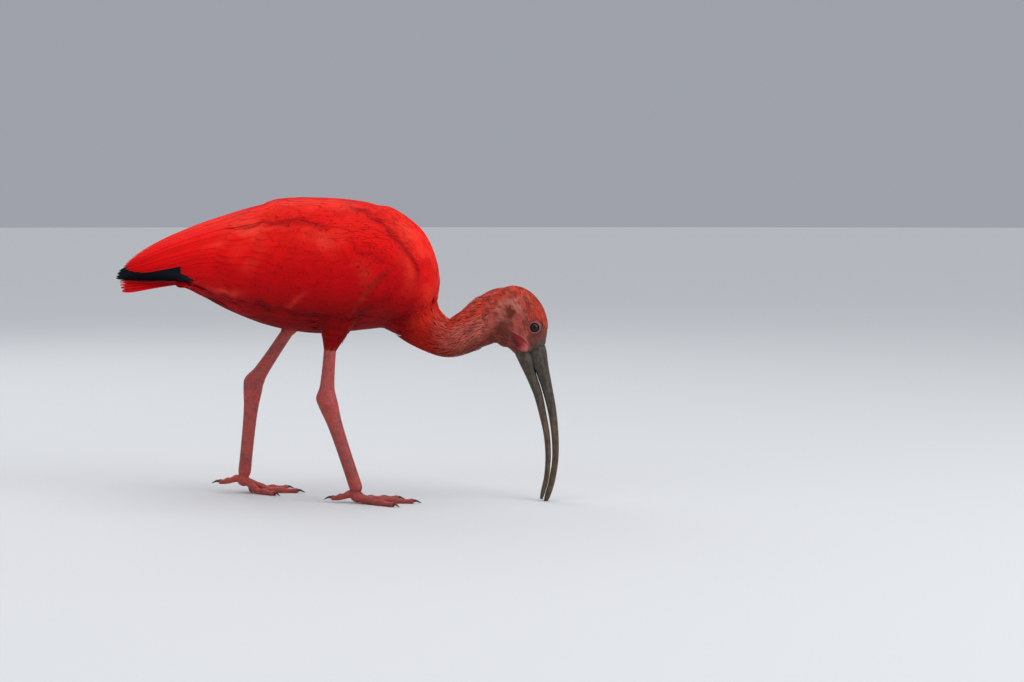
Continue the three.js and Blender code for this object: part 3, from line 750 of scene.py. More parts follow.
def waves(points, size, seed):
    """A slow, seeded wobble between 0 and 1 over the surface."""
    draw = np.random.default_rng(seed)
    total = np.zeros(len(points))
    for _ in range(7):
        way = unit(draw.normal(size=3)) * 2 * np.pi / (size * draw.uniform(0.6, 1.6))
        total += np.sin(points @ way + draw.uniform(0, 2 * np.pi))
    return np.clip(0.5 + total / 7, 0, 1)


def line_nearness(points, line, half):
    """1 on a line drawn in the side view, falling off over its half width and towards its ends."""
    flat = points[:, [0, 2]]
    line = np.array(line, float)
    best = np.full(len(flat), 1e9)
    for a, b in zip(line[:-1], line[1:]):
        share = np.clip(((flat - a) @ (b - a)) / ((b - a) @ (b - a)), 0, 1)
        best = np.minimum(best, np.linalg.norm(flat - (a + share[:, None] * (b - a)), axis=1))
    ends = np.minimum(*(np.linalg.norm(flat - end, axis=1) for end in (line[0], line[-1])))
    return np.exp(-((best / half) ** 2)) * (0.25 + 0.75 * smooth(ends, 0, 12))


def wandering(points):
    """Points moved a little, so that lines drawn on the plumage aren't ruled."""
    moved = points.copy()
    moved[:, 0] += 5 * (waves(points, 22, 41) - 0.5)
    moved[:, 2] += 5 * (waves(points, 18, 42) - 0.5)
    return moved


def fold_depth(points):
    """How far the plumage sinks in its folds, in millimetres."""
    depth = np.zeros(len(points))
    moved = wandering(points)
    for line, half, deep, _ in FOLDS:
        depth = np.maximum(depth, deep * line_nearness(moved, line, half))
    return depth


def scarlet_at(points, fine=0.0):
    """The plumage of body and wings: painted light above and painted maroon shade below, with painted shade
    in its folds and painted highlights.
    """
    x, _, height = points.T
    moved = wandering(points)
    broad = waves(points, 55, 5)
    streaks = waves(points * [0.22, 1, 1], 4.5, 6)
    # Painted light and shade: lighter and more orange towards the top, deep scarlet low on the sides and
    # maroon under the belly as painted shade.
    colours = layered(
        mix(SCARLET, SCARLET_TOP_HIGHLIGHT, 0.42 * smooth(height, 205, 280) * (0.4 + 0.6 * broad)),
        (SCARLET_DEEP, 0.75 * smooth(-height, -245, -190)),
        (MAROON, 0.85 * smooth(-height, -207, -164) * smooth(-x, -128, -100)),
    )
    # Painted highlights along these lines.
    for line, half, pale in PAINTED_HIGHLIGHTS:
        share = pale * line_nearness(moved, line, half) * (0.55 + 0.45 * streaks)
        colours = mix(colours, SCARLET_HIGHLIGHT, share)
    # Painted shade along the folds.
    for line, half, _, dark in FOLDS:
        colours = mix(colours, MAROON, dark * line_nearness(moved, line, half))
    colours = mix(colours, SCARLET_DEEP, 0.3 * smooth(streaks + fine, 0.5, 0.9))
    # Painted light: the top of the wings' rear and the front of the breast are made brighter.
    rear = smooth(-x, 5, 55) * smooth(height, 195, 222)
    front = smooth(x, 98, 118) * smooth(height, 178, 200)
    return np.minimum(colours * (1 + 0.24 * np.maximum(rear, front))[:, None], BRIGHTEST)


def off_breast(points, ahead, under, before):
    """0 on the body and 1 off it, by how far a place is before the breast or below it."""
    below = torso_row(points[:, 0])[:, 2] - points[:, 2]
    return np.maximum(smooth(points[:, 0], *ahead), smooth(below, *under) * smooth(points[:, 0], *before))


def neck_share(points):
    """0 on the body and 1 on the neck."""
    return off_breast(points, (129, 133), (-1, 4), (96, 108))


def neck_blend(points):
    """As neck_share, but fading over the breast."""
    return off_breast(points, (121, 137), (-9, 5), (88, 116))


def neck_middle(points):
    """The height of the neck's middle line over each place."""
    centre, _, _, _ = tube_frames(NECK_ROWS, np.linspace(0.2, 1, 60))
    return np.interp(points[:, 0], centre[:, 0], centre[:, 2])


HEAD_START = 150  # x from where the colours of the head may lie
EAR = (23.4, -7.8)  # middle of the cheek's pale ring, along the head and to the front


def head_colours(points, fine=0.0):
    """The colours of head and neck, from the scarlet of the breast to the bare skin of the face."""
    along, side, front = in_head(points)
    x = points[:, 0]
    mottled = waves(points, 9, 3) * 0.6 + waves(points, 3.2, 4) * 0.4 + fine
    ahead = x > HEAD_START
    crown = smooth(front, 1, 15) * smooth(-along, -58, -36) * ahead
    top = smooth(-along, -24, -6) * smooth(x, 160, 190)
    nape = smooth(points[:, 2] - neck_middle(points), 3, 14) * smooth(-x, -196, -176)
    red = np.maximum(np.maximum(crown, top), nape)
    brown = smooth(waves(points, 6, 11) + fine, 0.56, 0.74) * smooth(x, 130, 175)
    ring = np.hypot((along - EAR[0]) / 1.25, front - EAR[1]) + 5 * (waves(points, 6, 12) - 0.5)
    flank = smooth(np.abs(side), 6, 10)
    cheek = np.exp(-(((ring - 8.6) / 3.2) ** 2)) * ahead * flank
    behind = np.exp(-(((along - 40) / 7) ** 2) - ((front + 19) / 5) ** 2) * ahead
    # Painted shade: the underside of the neck is darkened with the brown.
    below = smooth(neck_middle(points) - points[:, 2], 4, 17) * smooth(-x, -204, -190)
    scarlet = smooth(-x, -152, -116)
    scarlet = scarlet * np.maximum(smooth(mottled, 0.05, 0.35), scarlet)
    return layered(
        mix(SALMON, ROSE, smooth(mottled, 0.35, 0.75)),
        (CROWN, 0.85 * red * smooth(mottled, 0.1, 0.45)),
        (MOTTLE_AND_SHADE, 0.5 * brown),
        (CHEEK, 0.92 * cheek * smooth(mottled, 0.15, 0.5) * smooth(-along, -32, -24)),
        (MOTTLE_AND_SHADE, 0.75 * smooth(-ring, -5.8, -1.5) * ahead * flank),
        (MOTTLE_AND_SHADE, 0.7 * behind),
        (MOTTLE_AND_SHADE, 0.62 * below),
        # The scarlet at the neck's base darkens towards the bottom as painted shade.
        (mix(SCARLET, CROWN, 0.4) * (1 - 0.4 * smooth(-points[:, 2], -176, -158))[:, None], scarlet),
    )


def gape_colours(points, across, down):
    """The bare skin behind the corner of the mouth: red in front, pale behind, with painted shade in its
    hollow.
    """
    patchy = waves(points, 3.4, 13)
    upper = smooth(-down, -6, 0)
    return layered(
        mix(GAPE_RED, GAPE_PALE, smooth(down + 3 * (patchy - 0.5), 3.5, 8)),
        # Painted shade in the upper hollow of the gape, darker along one side and patchy.
        (PAINTED_SHADE, 0.85 * smooth(-across, -0.6, 1.8) * upper),
        (PAINTED_SHADE, 0.5 * smooth(patchy, 0.5, 0.8) * upper),
    )


def face_colours(points, colours):
    """Colours with those of the bare skin of the face laid over them."""
    along, _, front = in_head(points)
    radial = from_eye(along, front)
    head = (points[:, 0] > HEAD_START) & (along > 20)
    lores = head * smooth(along + 0.3 * front, 46, 54) * smooth(front, -8, -3)
    ring = np.exp(-(((radial - 5.1) / 0.5) ** 2))
    across, down = gape_shares(along, front)
    narrow = lerp(0.35, 1, smooth(down, -11, 1))
    off = np.hypot(across / ((GAPE_SIZE[0] + 0.4) * narrow), down / (GAPE_SIZE[2] + 0.6))
    broken = smooth(waves(points, 2.6, 14), 0.34, 0.6)
    line = np.exp(-(((across - (GAPE_SIZE[0] + 1.2) * narrow) / 0.8) ** 2))
    line = line * smooth(-np.abs(down), -13, -9)
    # Painted shade in the groove of the mouth's line.
    mouth = np.exp(-(((across - (GAPE_SIZE[0] + 2.6) * narrow) / 0.6) ** 2)) * smooth(down, 0, 5)
    # Painted shade under the jaw.
    throat = head * smooth(along, 34, 46) * smooth(-across, 5.5, 8.5)
    return layered(
        colours,
        (BARE, head * smooth(-radial, -11.5, -7) * 0.85),
        (LORES, lores * 0.75),
        (HORN_GREY, 0.95 * head * smooth(along + 0.15 * front, 57.5, 62.5)),
        (LID, head * ring * 0.8),
        # Painted shade in the eye socket inside the lids, and a painted shadow beside the gape.
        (PAINTED_SHADE, head * smooth(-radial, -4.7, -4.2) * 0.95),
        (PAINTED_SHADE, 0.8 * head * smooth(-off, -2.2, -1.2) * smooth(-across, -0.5, 2)),
        (gape_colours(points, across, down), head * smooth(-off, -1.12, -0.88)),
        (GAPE_LINE, 0.75 * head * line * lerp(0.35, 1, broken)),
        (PAINTED_SHADE, 0.7 * head * mouth),
        (PAINTED_SHADE, throat * 0.6),
    )


def skin_colours(points):
    """The skin of body, neck, head and thighs."""
    into_leg = smooth(-thigh_height(points), -10, -6) * (thigh_share(points) > 0.5)
    plumage = mix(scarlet_at(points), LEG_RED, into_leg)
    return face_colours(points, mix(plumage, head_colours(points), neck_blend(points)))


def leg_colours(points):
    """The scaly skin of the bare legs and feet."""
    patchy = waves(points, 16, 21) * 0.6 + waves(points, 5, 22) * 0.4
    lines = waves(points * [1, 1, 0.06], 3.0, 23)
    shafts = smooth(points[:, 2], 20, 34)
    colours = layered(
        mix(LEG_RED, LEG_DARK, smooth(patchy, 0.5, 0.85) * 0.5),
        (LEG_GREY, 0.35 * smooth(lines, 0.52, 0.7) * shafts),
    )
    # Painted shade: the upper part of the right leg is painted darker.
    near_leg_shade = smooth(-points[:, 1], 0, 10) * smooth(-points[:, 2], -90, -60)
    return colours * (1 - 0.2 * near_leg_shade)[:, None]


SKIN_CELL = 1.5  # size of the skin's faces
SKIN_ROUNDS = 5  # of evening it out
LEG_CELL = 0.62
LEG_ROUNDS = 4


def is_fine(points):
    """The parts of the head whose shape needs small faces."""
    along, _, _ = in_head(points)
    return (points[:, 0] > 196) & (along > 28) & (along < 68)


def is_finest(points):
    """The surroundings of the eyes."""
    along, side, front = in_head(points)
    return (from_eye(along, front) < 7.5) & (np.abs(side) > 6) & (points[:, 0] > 190)


def make_skin():
    """One skin for body, neck, head and legs, and the part of it that tufts root in."""
    body, quads = welded(flesh_parts(), SKIN_CELL, SKIN_ROUNDS)
    body, faces = refine(body, quads, (is_fine, is_finest, is_finest))
    body = sculpt_face(body)
    legs = []
    for name in SIDES:
        points, some = welded(leg_parts(name), LEG_CELL, LEG_ROUNDS)
        points[:, 2] = np.maximum(points[:, 2], 0)
        legs.append((points, [some]))
    points, polygons = gather((body, faces), *legs)
    count = len(body)
    face = (points[:, 0] > 196) & (points[:, 2] < 175) & (points[:, 2] > 120)
    face = np.flatnonzero(face[:count])
    points[face] = face_detail(points[face])
    skin = new_mesh("skin", points, polygons)
    mesh = skin.data
    paint(mesh, "paint", np.concatenate([skin_colours(points[:count]), leg_colours(points[count:])]))
    limb_nodes = [f"{part}_{name}" for name in SIDES for part in ("thigh", "shank", "tarsus", "foot")]
    toes = [f"toe_{which}_{name}" for name in SIDES for which in TOE_TURNS]
    nodes = ["torso", "neck_lower", "neck_upper", "head", *limb_nodes, *toes]
    finish_piece(skin, skin_material(), nodes)
    mesh.materials.append(leg_material())
    starts = np.empty(len(mesh.polygons), np.int32)
    corners = np.empty(len(mesh.loops), np.int32)
    mesh.polygons.foreach_get("loop_start", starts)
    mesh.loops.foreach_get("vertex_index", corners)
    mesh.polygons.foreach_set("material_index", (corners[starts] >= count).astype(np.int32))
    return body, faces


# materials
def new_material(name, **values):
    """A material, with its shader's values by the names of their sockets."""
    material = bpy.data.materials.new(name)
    material.use_nodes = True
    shader = material.node_tree.nodes["Principled BSDF"]
    for key, value in values.items():
        shader.inputs[key.replace("_", " ")].default_value = value
    return material, material.node_tree, shader


def node(tree, kind, inputs=(), **settings):
    """A node with its settings and its inputs, each input a value or another node's socket."""
    made = tree.nodes.new(kind)
    for key, value in settings.items():
        setattr(made, key, value)
    for key, value in dict(inputs).items():
        if isinstance(value, bpy.types.NodeSocket):
            tree.links.new(value, made.inputs[key])
        else:
            made.inputs[key].default_value = value
    return made


def math_node(tree, operation, *values):
    return node(tree, "ShaderNodeMath", dict(enumerate(values)), operation=operation).outputs[0]


def plus(tree, *values):
    return math_node(tree, "ADD", *values)


def times(tree, *values):
    return math_node(tree, "MULTIPLY", *values)


def object_place(tree, scale=None):
    """Places in the object's own space, stretched where a scale is given."""
    where = node(tree, "ShaderNodeTexCoord").outputs["Object"]
    if scale is None:
        return where
    return node(tree, "ShaderNodeMapping", {"Vector": where, "Scale": scale}).outputs["Vector"]


def noise(tree, scale, detail, roughness=0.55, where=None):
    inputs = {"Scale": scale, "Detail": detail, "Roughness": roughness}
    where = where or object_place(tree)
    return node(tree, "ShaderNodeTexNoise", {**inputs, "Vector": where}).outputs["Fac"]


def ramp(tree, value, low, high, out_low=0.0, out_high=1.0):
    inputs = {"Value": value, "From Min": low, "From Max": high, "To Min": out_low, "To Max": out_high}
    return node(tree, "ShaderNodeMapRange", inputs).outputs["Result"]


def painted(tree, amount):
    """The colour painted on the mesh, made lighter or darker by a factor."""
    colour = node(tree, "ShaderNodeVertexColor", layer_name="paint").outputs["Color"]
    inputs = {0: colour, "Scale": amount}
    return node(tree, "ShaderNodeVectorMath", inputs, operation="SCALE").outputs["Vector"]


def bump(tree, height, strength, distance):
    inputs = {"Height": height, "Strength": strength, "Distance": distance}
    return node(tree, "ShaderNodeBump", inputs).outputs["Normal"]


def wire(tree, shader, **sockets):
    for key, value in sockets.items():
        tree.links.new(value, shader.inputs[key.replace("_", " ")])


def skin_material():
    """Bare, finely bumpy skin."""
    material, tree, shader = new_material(
        "bare_skin",
        Roughness=0.58,
        Specular_IOR_Level=0.22,
        Subsurface_Weight=0.12,
        Subsurface_Radius=(0.004, 0.0015, 0.001),
        Subsurface_Scale=0.4,
    )
    blotch = noise(tree, 380, 5)
    cells = node(tree, "ShaderNodeTexVoronoi", {"Scale": 900.0, "Vector": object_place(tree)})
    rough = plus(tree, blotch, times(tree, cells.outputs["Distance"], 0.6))
    base = painted(tree, ramp(tree, blotch, 0.3, 0.75, 0.78, 1.16))
    wire(tree, shader, Base_Color=base, Normal=bump(tree, rough, 0.5, 0.0006))
    return material


def leg_material():
    """Scales with darker seams."""
    material, tree, shader = new_material("leg_scales", Roughness=0.42)
    scales = {"Scale": 520.0, "Randomness": 0.7, "Vector": object_place(tree, (1.0, 1.0, 0.62))}
    cells = node(tree, "ShaderNodeTexVoronoi", scales, feature="DISTANCE_TO_EDGE")
    seam = ramp(tree, cells.outputs["Distance"], 0.0, 0.14)
    blotch = noise(tree, 160, 5)
    tone = times(tree, ramp(tree, seam, 0.0, 1.0, 0.74, 1.0), ramp(tree, blotch, 0.3, 0.72, 0.82, 1.14))
    height = plus(tree, seam, times(tree, noise(tree, 900, 3), 0.35))
    rough = ramp(tree, blotch, 0.3, 0.8, 0.36, 0.56)
    normal = bump(tree, height, 0.55, 0.0005)
    wire(tree, shader, Base_Color=painted(tree, tone), Normal=normal, Roughness=rough)
    return material


def feather_material(name, roughness, sheen, barbs, depth=0.00012, sheen_tint=(1.0, 0.3, 0.2, 1.0)):
    """Plumage: the tuft's own colour, with fine barbs off the shaft.

    barbs is how fast a barb's number grows along the shaft and away from it, and how wide one is."""
    material, tree, shader = new_material(
        name,
        Roughness=roughness,
        Sheen_Weight=sheen,
        Sheen_Roughness=0.45,
        Sheen_Tint=sheen_tint,
        Specular_IOR_Level=0.08,
    )
    vane = node(tree, "ShaderNodeUVMap", uv_map="vane").outputs["UV"]
    parts = node(tree, "ShaderNodeSeparateXYZ", {0: vane})
    across = math_node(tree, "ABSOLUTE", parts.outputs[0])
    wobble = noise(tree, 0.35, 3, where=vane)
    ahead, aside = times(tree, parts.outputs[1], barbs[0]), times(tree, across, barbs[1])
    slant = plus(tree, math_node(tree, "SUBTRACT", ahead, aside), times(tree, wobble, 1.2))
    stripes = math_node(tree, "SINE", times(tree, slant, 2 * math.pi / barbs[2]))
    along = node(tree, "ShaderNodeCombineXYZ", {0: times(tree, slant, 2.2)}).outputs[0]
    streak = noise(tree, 1.0, 2, where=along)
    broad = noise(tree, 70.0, 3)
    barb_tone = ramp(tree, stripes, -1.0, 1.0, -0.04, 0.04)
    fine = plus(tree, barb_tone, ramp(tree, streak, 0.3, 0.7, 0.92, 1.08))
    shaft = ramp(tree, across, 0.0, 0.22, 0.92, 1.0)
    tone = times(tree, fine, times(tree, shaft, ramp(tree, broad, 0.3, 0.7, 0.93, 1.07)))
    height = plus(tree, ramp(tree, stripes, -1.0, 1.0), times(tree, streak, 1.4))
    wire(tree, shader, Base_Color=painted(tree, tone), Normal=bump(tree, height, 0.4, depth))
    return material


def horn_material():
    """Bill and claws: fibres along their length."""
    material, tree, shader = new_material("horn", Roughness=0.5, Specular_IOR_Level=0.3)
    streaks = noise(tree, 900, 6, 0.6, object_place(tree, (1.0, 1.0, 0.07)))
    blotch = noise(tree, 130, 4)
    tone = times(tree, ramp(tree, streaks, 0.3, 0.7, 0.72, 1.22), ramp(tree, blotch, 0.3, 0.7, 0.8, 1.15))
    rough = ramp(tree, blotch, 0.3, 0.75, 0.42, 0.6)
    normal = bump(tree, streaks, 0.35, 0.0004)
    wire(tree, shader, Base_Color=painted(tree, tone), Normal=normal, Roughness=rough)
    return material


def eye_material(name):
    """A wet, dark eye."""
    material, tree, shader = new_material(
        name, Roughness=0.3, Specular_IOR_Level=0.1, Coat_Weight=0.3, Coat_Roughness=0.03
    )
    fibres = noise(tree, 900, 3)
    wire(tree, shader, Base_Color=painted(tree, ramp(tree, fibres, 0.3, 0.7, 0.75, 1.25)))
    return material


# feathers
# The map named OFBake: the body in one block, neck and head in another, each tuft a small patch.
PATCH = 0.003
BODY_BLOCK = (0.02, 0.54)  # start and width
NECK_BLOCK = (0.6, 0.37)
BLOCK_START = 0.02
BLOCK_LENGTH = 0.95
BODY_START = -175.0
BODY_LENGTH = 310.0
BLOCKS_MEET = 126.0  # the x past which roots are in the second block
NECK_PLACES = 60  # along the neck's middle line, and then along the head's
HEAD_PLACES = 30


def in_block(block, out, up, along, length):
    """A place in a block of the map, by the way a root lies off its middle line and how far along it."""
    turn = np.arctan2(out, up) / (2 * np.pi) + 0.5
    return np.stack([block[0] + block[1] * turn, BLOCK_START + BLOCK_LENGTH * along / length], -1)


def unwrap(points):
    """Where a root lies in the map."""
    x = points[:, 0]
    row = torso_row(x)
    middle = lerp(row[:, 2], row[:, 1], EQUATOR)
    body = in_block(BODY_BLOCK, points[:, 1], points[:, 2] - middle, x - BODY_START, BODY_LENGTH)
    centre, _, side, up = tube_frames(NECK_ROWS, np.linspace(0.25, 1, NECK_PLACES))
    spine = np.concatenate([centre, head_place(np.linspace(20, 62, HEAD_PLACES), 0, 0)])
    sides = np.concatenate([side, np.repeat([[0, 1.0, 0]], HEAD_PLACES, 0)])
    ups = np.concatenate([up, np.repeat(HEAD_FRONT[None], HEAD_PLACES, 0)])
    nearest = np.argmin(((points[:, None] - spine[None]) ** 2).sum(-1), 1)
    off = points - spine[nearest]
    out, ahead = (off * sides[nearest]).sum(-1), (off * ups[nearest]).sum(-1)
    neck = in_block(NECK_BLOCK, out, ahead, nearest, len(spine))
    return np.where((x > BLOCKS_MEET)[:, None], neck, body)


def lens(rings, columns):
    """Corner numbers of a closed vane of rings, each with columns on top and one point beneath."""
    width = columns + 1
    quads = []
    for k in range(rings - 1):
        a, b = k * width, (k + 1) * width
        quads += [[a + c, b + c, b + c + 1, a + c + 1] for c in range(columns - 1)]
        quads.append([a, a + columns, b + columns, b])
        quads.append([a + columns, a + columns - 1, b + columns - 1, b + columns])
    last = (rings - 1) * width
    return np.array(quads), np.array([list(range(width)), [last + i for i in range(width)][::-1]])


class Coat:
    """Many closed vanes that become one mesh, each a patch of the map named OFBake."""

    def __init__(self):
        self.count = 0
        self.polygons = []
        self.points, self.colours, self.vane, self.baked, self.rims = [], [], [], [], []

    def add(self, centre, side, up, half, off, colours, roots, lengths, shares, look):
        """Vanes along centre lines. centre, side and up are arrays of vane, ring and place; half and
        off of vane and ring, off being how far the vane lies from its feather's shaft.

        The look's camber lowers the edges as a share of the half width, and ragged frays them."""
        number, rings = centre.shape[:2]
        camber, ragged, columns = look["camber"], look["ragged"], look["columns"]
        u = np.linspace(-1, 1, columns)
        wide = np.broadcast_to(half[..., None] * u, (number, rings, columns)).copy()
        for column in (0, -1):
            fray = rng.uniform(1 - 1.6 * ragged, 1, (number, rings))
            fray[:, 1::2] += ragged
            wide[:, :, column] *= fray
        flat = 1 - u**2
        rise = half[..., None] * camber * (flat - 0.5) + look["thick"] * flat
        top = centre[:, :, None] + side[:, :, None] * wide[..., None] + up[:, :, None] * rise[..., None]
        beneath = centre + up * (half * camber * 0.5 - 0.5 * look["thick"])[..., None]
        across = np.append(u, 0) * half[..., None] + off[..., None]
        self.add_grid(top, beneath, across, shares, lengths[:, None] * shares, colours, roots)

    def add_grid(self, top, beneath, across, shares, along, colours, roots):
        """Vanes whose top points are given by vane, ring and column, with one point beneath each ring."""
        number, rings, columns = top.shape[:3]
        shape = (number, rings, columns + 1)
        quads, ends = lens(rings, columns)
        size = rings * (columns + 1)
        start = self.count + size * np.arange(number)[:, None, None]
        self.polygons += [(quads[None] + start).reshape(-1, 4), (ends[None] + start).reshape(-1, columns + 1)]
        self.points.append(np.concatenate([top, beneath[:, :, None]], 2).reshape(-1, 3))
        self.colours.append(np.broadcast_to(colours, (*shape, 3)).reshape(-1, 3))
        along = np.broadcast_to(along[..., None], across.shape)
        self.vane.append(np.stack([across, along], -1).reshape(-1, 2))
        u = np.append(np.linspace(0, 1, columns), 0.5)
        patch = np.stack(np.broadcast_arrays(u, shares[:, None]), -1) * PATCH
        self.baked.append(np.clip(unwrap(roots)[:, None, None] + patch, 0, 1).reshape(-1, 2))
        rim = np.zeros(shape, bool)
        rim[:, :, [0, columns - 1]] = True
        self.rims.append(rim.ravel())
        self.count += size * number

    def make(self, name, material, slot, *nodes):
        """The coat as one piece, sharp along the rims of its vanes."""
        coat = new_mesh(name, np.concatenate(self.points), self.polygons)
        mesh = coat.data
        paint(mesh, "paint", np.concatenate(self.colours))
        corners = np.empty(len(mesh.loops), np.int32)
        mesh.loops.foreach_get("vertex_index", corners)
        for layer, values in (("OFBake", self.baked), ("vane", self.vane)):
            made = mesh.uv_layers.new(name=layer)
            made.data.foreach_set("uv", np.concatenate(values)[corners].astype(np.float32).ravel())
        sharp = mesh.attributes.new("sharp_edge", "BOOLEAN", "EDGE")
        sharp.data.foreach_set("value", np.concatenate(self.rims)[edges_of(mesh)].all(1))
        finish_piece(coat, material, nodes)


class Ground:
    """The surface that tufts root in: its faces for drawing roots, and the nearest place to any point."""

    def __init__(self, points, faces):
        halves = [f if f.shape[1] == 3 else np.concatenate([f[:, :3], f[:, [0, 2, 3]]]) for f in faces]
        self.triangles = np.concatenate(halves)
        self.points = points
        corners = points[self.triangles]
        normals = np.cross(corners[:, 1] - corners[:, 0], corners[:, 2] - corners[:, 0])
        self.areas = np.linalg.norm(normals, axis=1) / 2
        blurred = np.zeros_like(points)
        for k in range(3):
            for axis in range(3):
                blurred[:, axis] += np.bincount(self.triangles[:, k], normals[:, axis], len(points))
        self.normals = unit(blurred)
        self.tree = BVHTree.FromPolygons(points.tolist(), self.triangles.tolist())

    def draw(self, number, wanted):
        """Random places on the faces whose middles wanted() accepts, and the area of those faces."""
        middles = self.points[self.triangles].mean(1)
        weight = self.areas * wanted(middles)
        pick = rng.choice(len(weight), number, p=weight / weight.sum())
        a, b = np.sqrt(rng.uniform(size=number)), rng.uniform(size=number)
        parts = np.stack([1 - a, a * (1 - b), a * b], -1)
        return (self.points[self.triangles[pick]] * parts[..., None]).sum(1), weight.sum()

    def nearest(self, points):
        """The nearest places on the surface and their evened normals."""
        places, normals = np.empty_like(points), np.empty_like(points)
        for i, p in enumerate(points.tolist()):
            at, _, index, _ = self.tree.find_nearest(p)
            corners = self.triangles[index]
            places[i] = at
            gap = np.abs(self.points[corners] - np.array(at)).sum(1) + 1e-6
            normals[i] = (self.normals[corners] / gap[:, None]).sum(0)
        return places, unit(normals)


def spread(points, spacing):
    """Keeps the points that are at least spacing from every one kept before."""
    kept, cells = [], {}
    keys = np.floor(points / spacing).astype(int)
    steps = list(itertools.product((-1, 0, 1), repeat=3))
    squared = spacing**2
    for n, ((a, b, c), (x, y, z)) in enumerate(zip(keys.tolist(), points.tolist())):
        around = (q for i, j, k in steps for q in cells.get((a + i, b + j, c + k), ()))
        if all((x - q[0]) ** 2 + (y - q[1]) ** 2 + (z - q[2]) ** 2 >= squared for q in around):
            cells.setdefault((a, b, c), []).append((x, y, z))
            kept.append(n)
    return points[kept]


DRAWS = 5  # roots drawn for each one that there is room for
STRAND_OVERLAP = 1.5


def ring_shares(rings, power):
    """Shares of a feather's length, closer together towards its tip."""
    return 1 - (1 - np.linspace(0, 1, rings)) ** power


def tuft_paths(ground, look):
    """Paths of tufts over the skin, with its normals, their roots, their lengths and the rings' shares."""
    _, area = ground.draw(1, look["wanted"])
    roots, _ = ground.draw(int(area / look["spacing"] ** 2 * DRAWS), look["wanted"])
    roots = spread(roots, look["spacing"])
    number = len(roots)
    shares = ring_shares(look["rings"], 1.5)
    lengths = np.broadcast_to(look["length"](roots), number) * rng.uniform(0.85, 1.15, number)
    swerve = rng.normal(0, look["swerve"], number)
    at, up = ground.nearest(roots)
    path, ups = [at], [up]
    for step in np.diff(shares):
        way = look["lie"](at)
        way = unit(way - up * (way * up).sum(-1, keepdims=True))
        way = unit(way + np.cross(up, way) * swerve[:, None])
        at, up = ground.nearest(at + way * (lengths * step)[:, None])
        path.append(at)
        ups.append(up)
    path, ups = np.stack(path, 1), np.stack(ups, 1)
    kept = look["clear"](path[:, -1])
    return path[kept], ups[kept], roots[kept], lengths[kept], shares


def tuft_heights(path, shares, look):
    """How high tufts lie over the skin: sunk in it at the root, rising quickly, then sloping gently."""
    number, rings = path.shape[:2]
    places, slope, sink = path.reshape(-1, 3), look["slope"], look["sink"]
    top = np.broadcast_to(look["depth"](places), number * rings).reshape(number, rings)
    top = top + rng.uniform(-look["uneven"], look["uneven"], number)[:, None]
    lift = 1 - slope - (1 - slope) * (1 - shares) ** look["quick"] + slope * shares
    height = -sink + (top + sink) * lift
    return height - look["folded"] * fold_depth(places).reshape(height.shape) * lift


def tract(coat, ground, look):
    """Covers a stretch of skin with tufts whose tips lie over the roots of those behind them."""
    path, ups, roots, lengths, shares = tuft_paths(ground, look)
    number, rings = path.shape[:2]
    centre = path + ups * tuft_heights(path, shares, look)[..., None]
    along = unit(np.gradient(centre, axis=1))
    side = unit(np.cross(ups, along))
    side = unit(side + ups * rng.normal(0, look["tilt"], number)[:, None, None])
    up = np.cross(along, side)
    widest = np.broadcast_to(look["half"](roots), number) * rng.uniform(0.88, 1.12, number)
    tone = rng.normal(1, look["tone"], number)
    fine = rng.normal(0, look["mottle"], number)
    strands = look["strands"]
    off = np.zeros((number, rings))
    if strands > 1:
        centre, side, up, off = fanned(centre, side, up, widest, shares, strands)
        each = (roots, lengths, widest, tone, fine)
        roots, lengths, widest, tone, fine = (np.repeat(values, strands, 0) for values in each)
        widest = widest * STRAND_OVERLAP / strands
        tone = tone * rng.normal(1, 0.4 * look["tone"], len(tone))
    colours = look["colours"](centre.reshape(-1, 3), np.repeat(fine, rings)).reshape(-1, rings, 1, 3)
    u = np.append(np.abs(np.linspace(-1, 1, look["columns"])), 0)
    # Painted shade towards the root, where other tufts lie over it, and a painted highlight on the rim.
    rim = np.maximum(smooth(shares, 0.9, 1)[:, None], smooth(u, 0.45, 1)[None])
    shade = lerp(look["root"], 1, smooth(shares, 0.4, 0.93))[:, None] * (1 + look["edge"] * rim)
    colours = colours * shade[None, ..., None] * tone[:, None, None, None]
    half = widest[:, None] * look["outline"](shares)
    coat.add(centre, side, up, half, off, colours, roots, lengths, shares, look)


def fanned(centre, side, up, widest, shares, strands):
    """Divides each feather into narrow strands side by side, whose tips draw a rounded, loose edge."""
    number, rings = centre.shape[:2]
    across = np.linspace(-1, 1, strands)
    reach = np.minimum(1, (1 - 0.16 * across**2) * rng.uniform(0.86, 1.06, (number, strands)))
    at = shares * reach[..., None]
    index = np.interp(at, shares, np.arange(rings))
    low = np.minimum(index.astype(int), rings - 2)
    between = (index - low)[..., None]
    rows = np.arange(number)[:, None, None]
    centre, side, up = (v[rows, low] * (1 - between) + v[rows, low + 1] * between for v in (centre, side, up))
    opened = 0.35 + 0.65 * smooth(at, 0, 0.6)
    widest = widest[:, None, None]
    off = widest * 0.78 * across[None, :, None] * opened
    off = off + 0.12 * widest * rng.normal(0, 1, (number, strands, 1)) * opened
    dip = 0.02 * off**2 + rng.uniform(0, 0.03, (number, strands, 1))
    centre = centre + side * off[..., None] - up * dip[..., None]
    parts = (centre, unit(side), unit(up), off)
    return (values.reshape(number * strands, *values.shape[2:]) for values in parts)


def strand_outline(shares):
    """Half width along a strand of a feather, as a share of its greatest."""
    return (0.6 + 0.4 * smooth(shares, 0, 0.5)) * np.maximum(np.sqrt(np.clip(1 - shares**5, 0, 1)), 0.12)


def hair_outline(shares):
    """Half width along one of the fine, pointed feathers of head and neck."""
    return (0.7 + 0.3 * smooth(shares, 0, 0.3)) * np.maximum(1 - shares**1.6, 0.05)


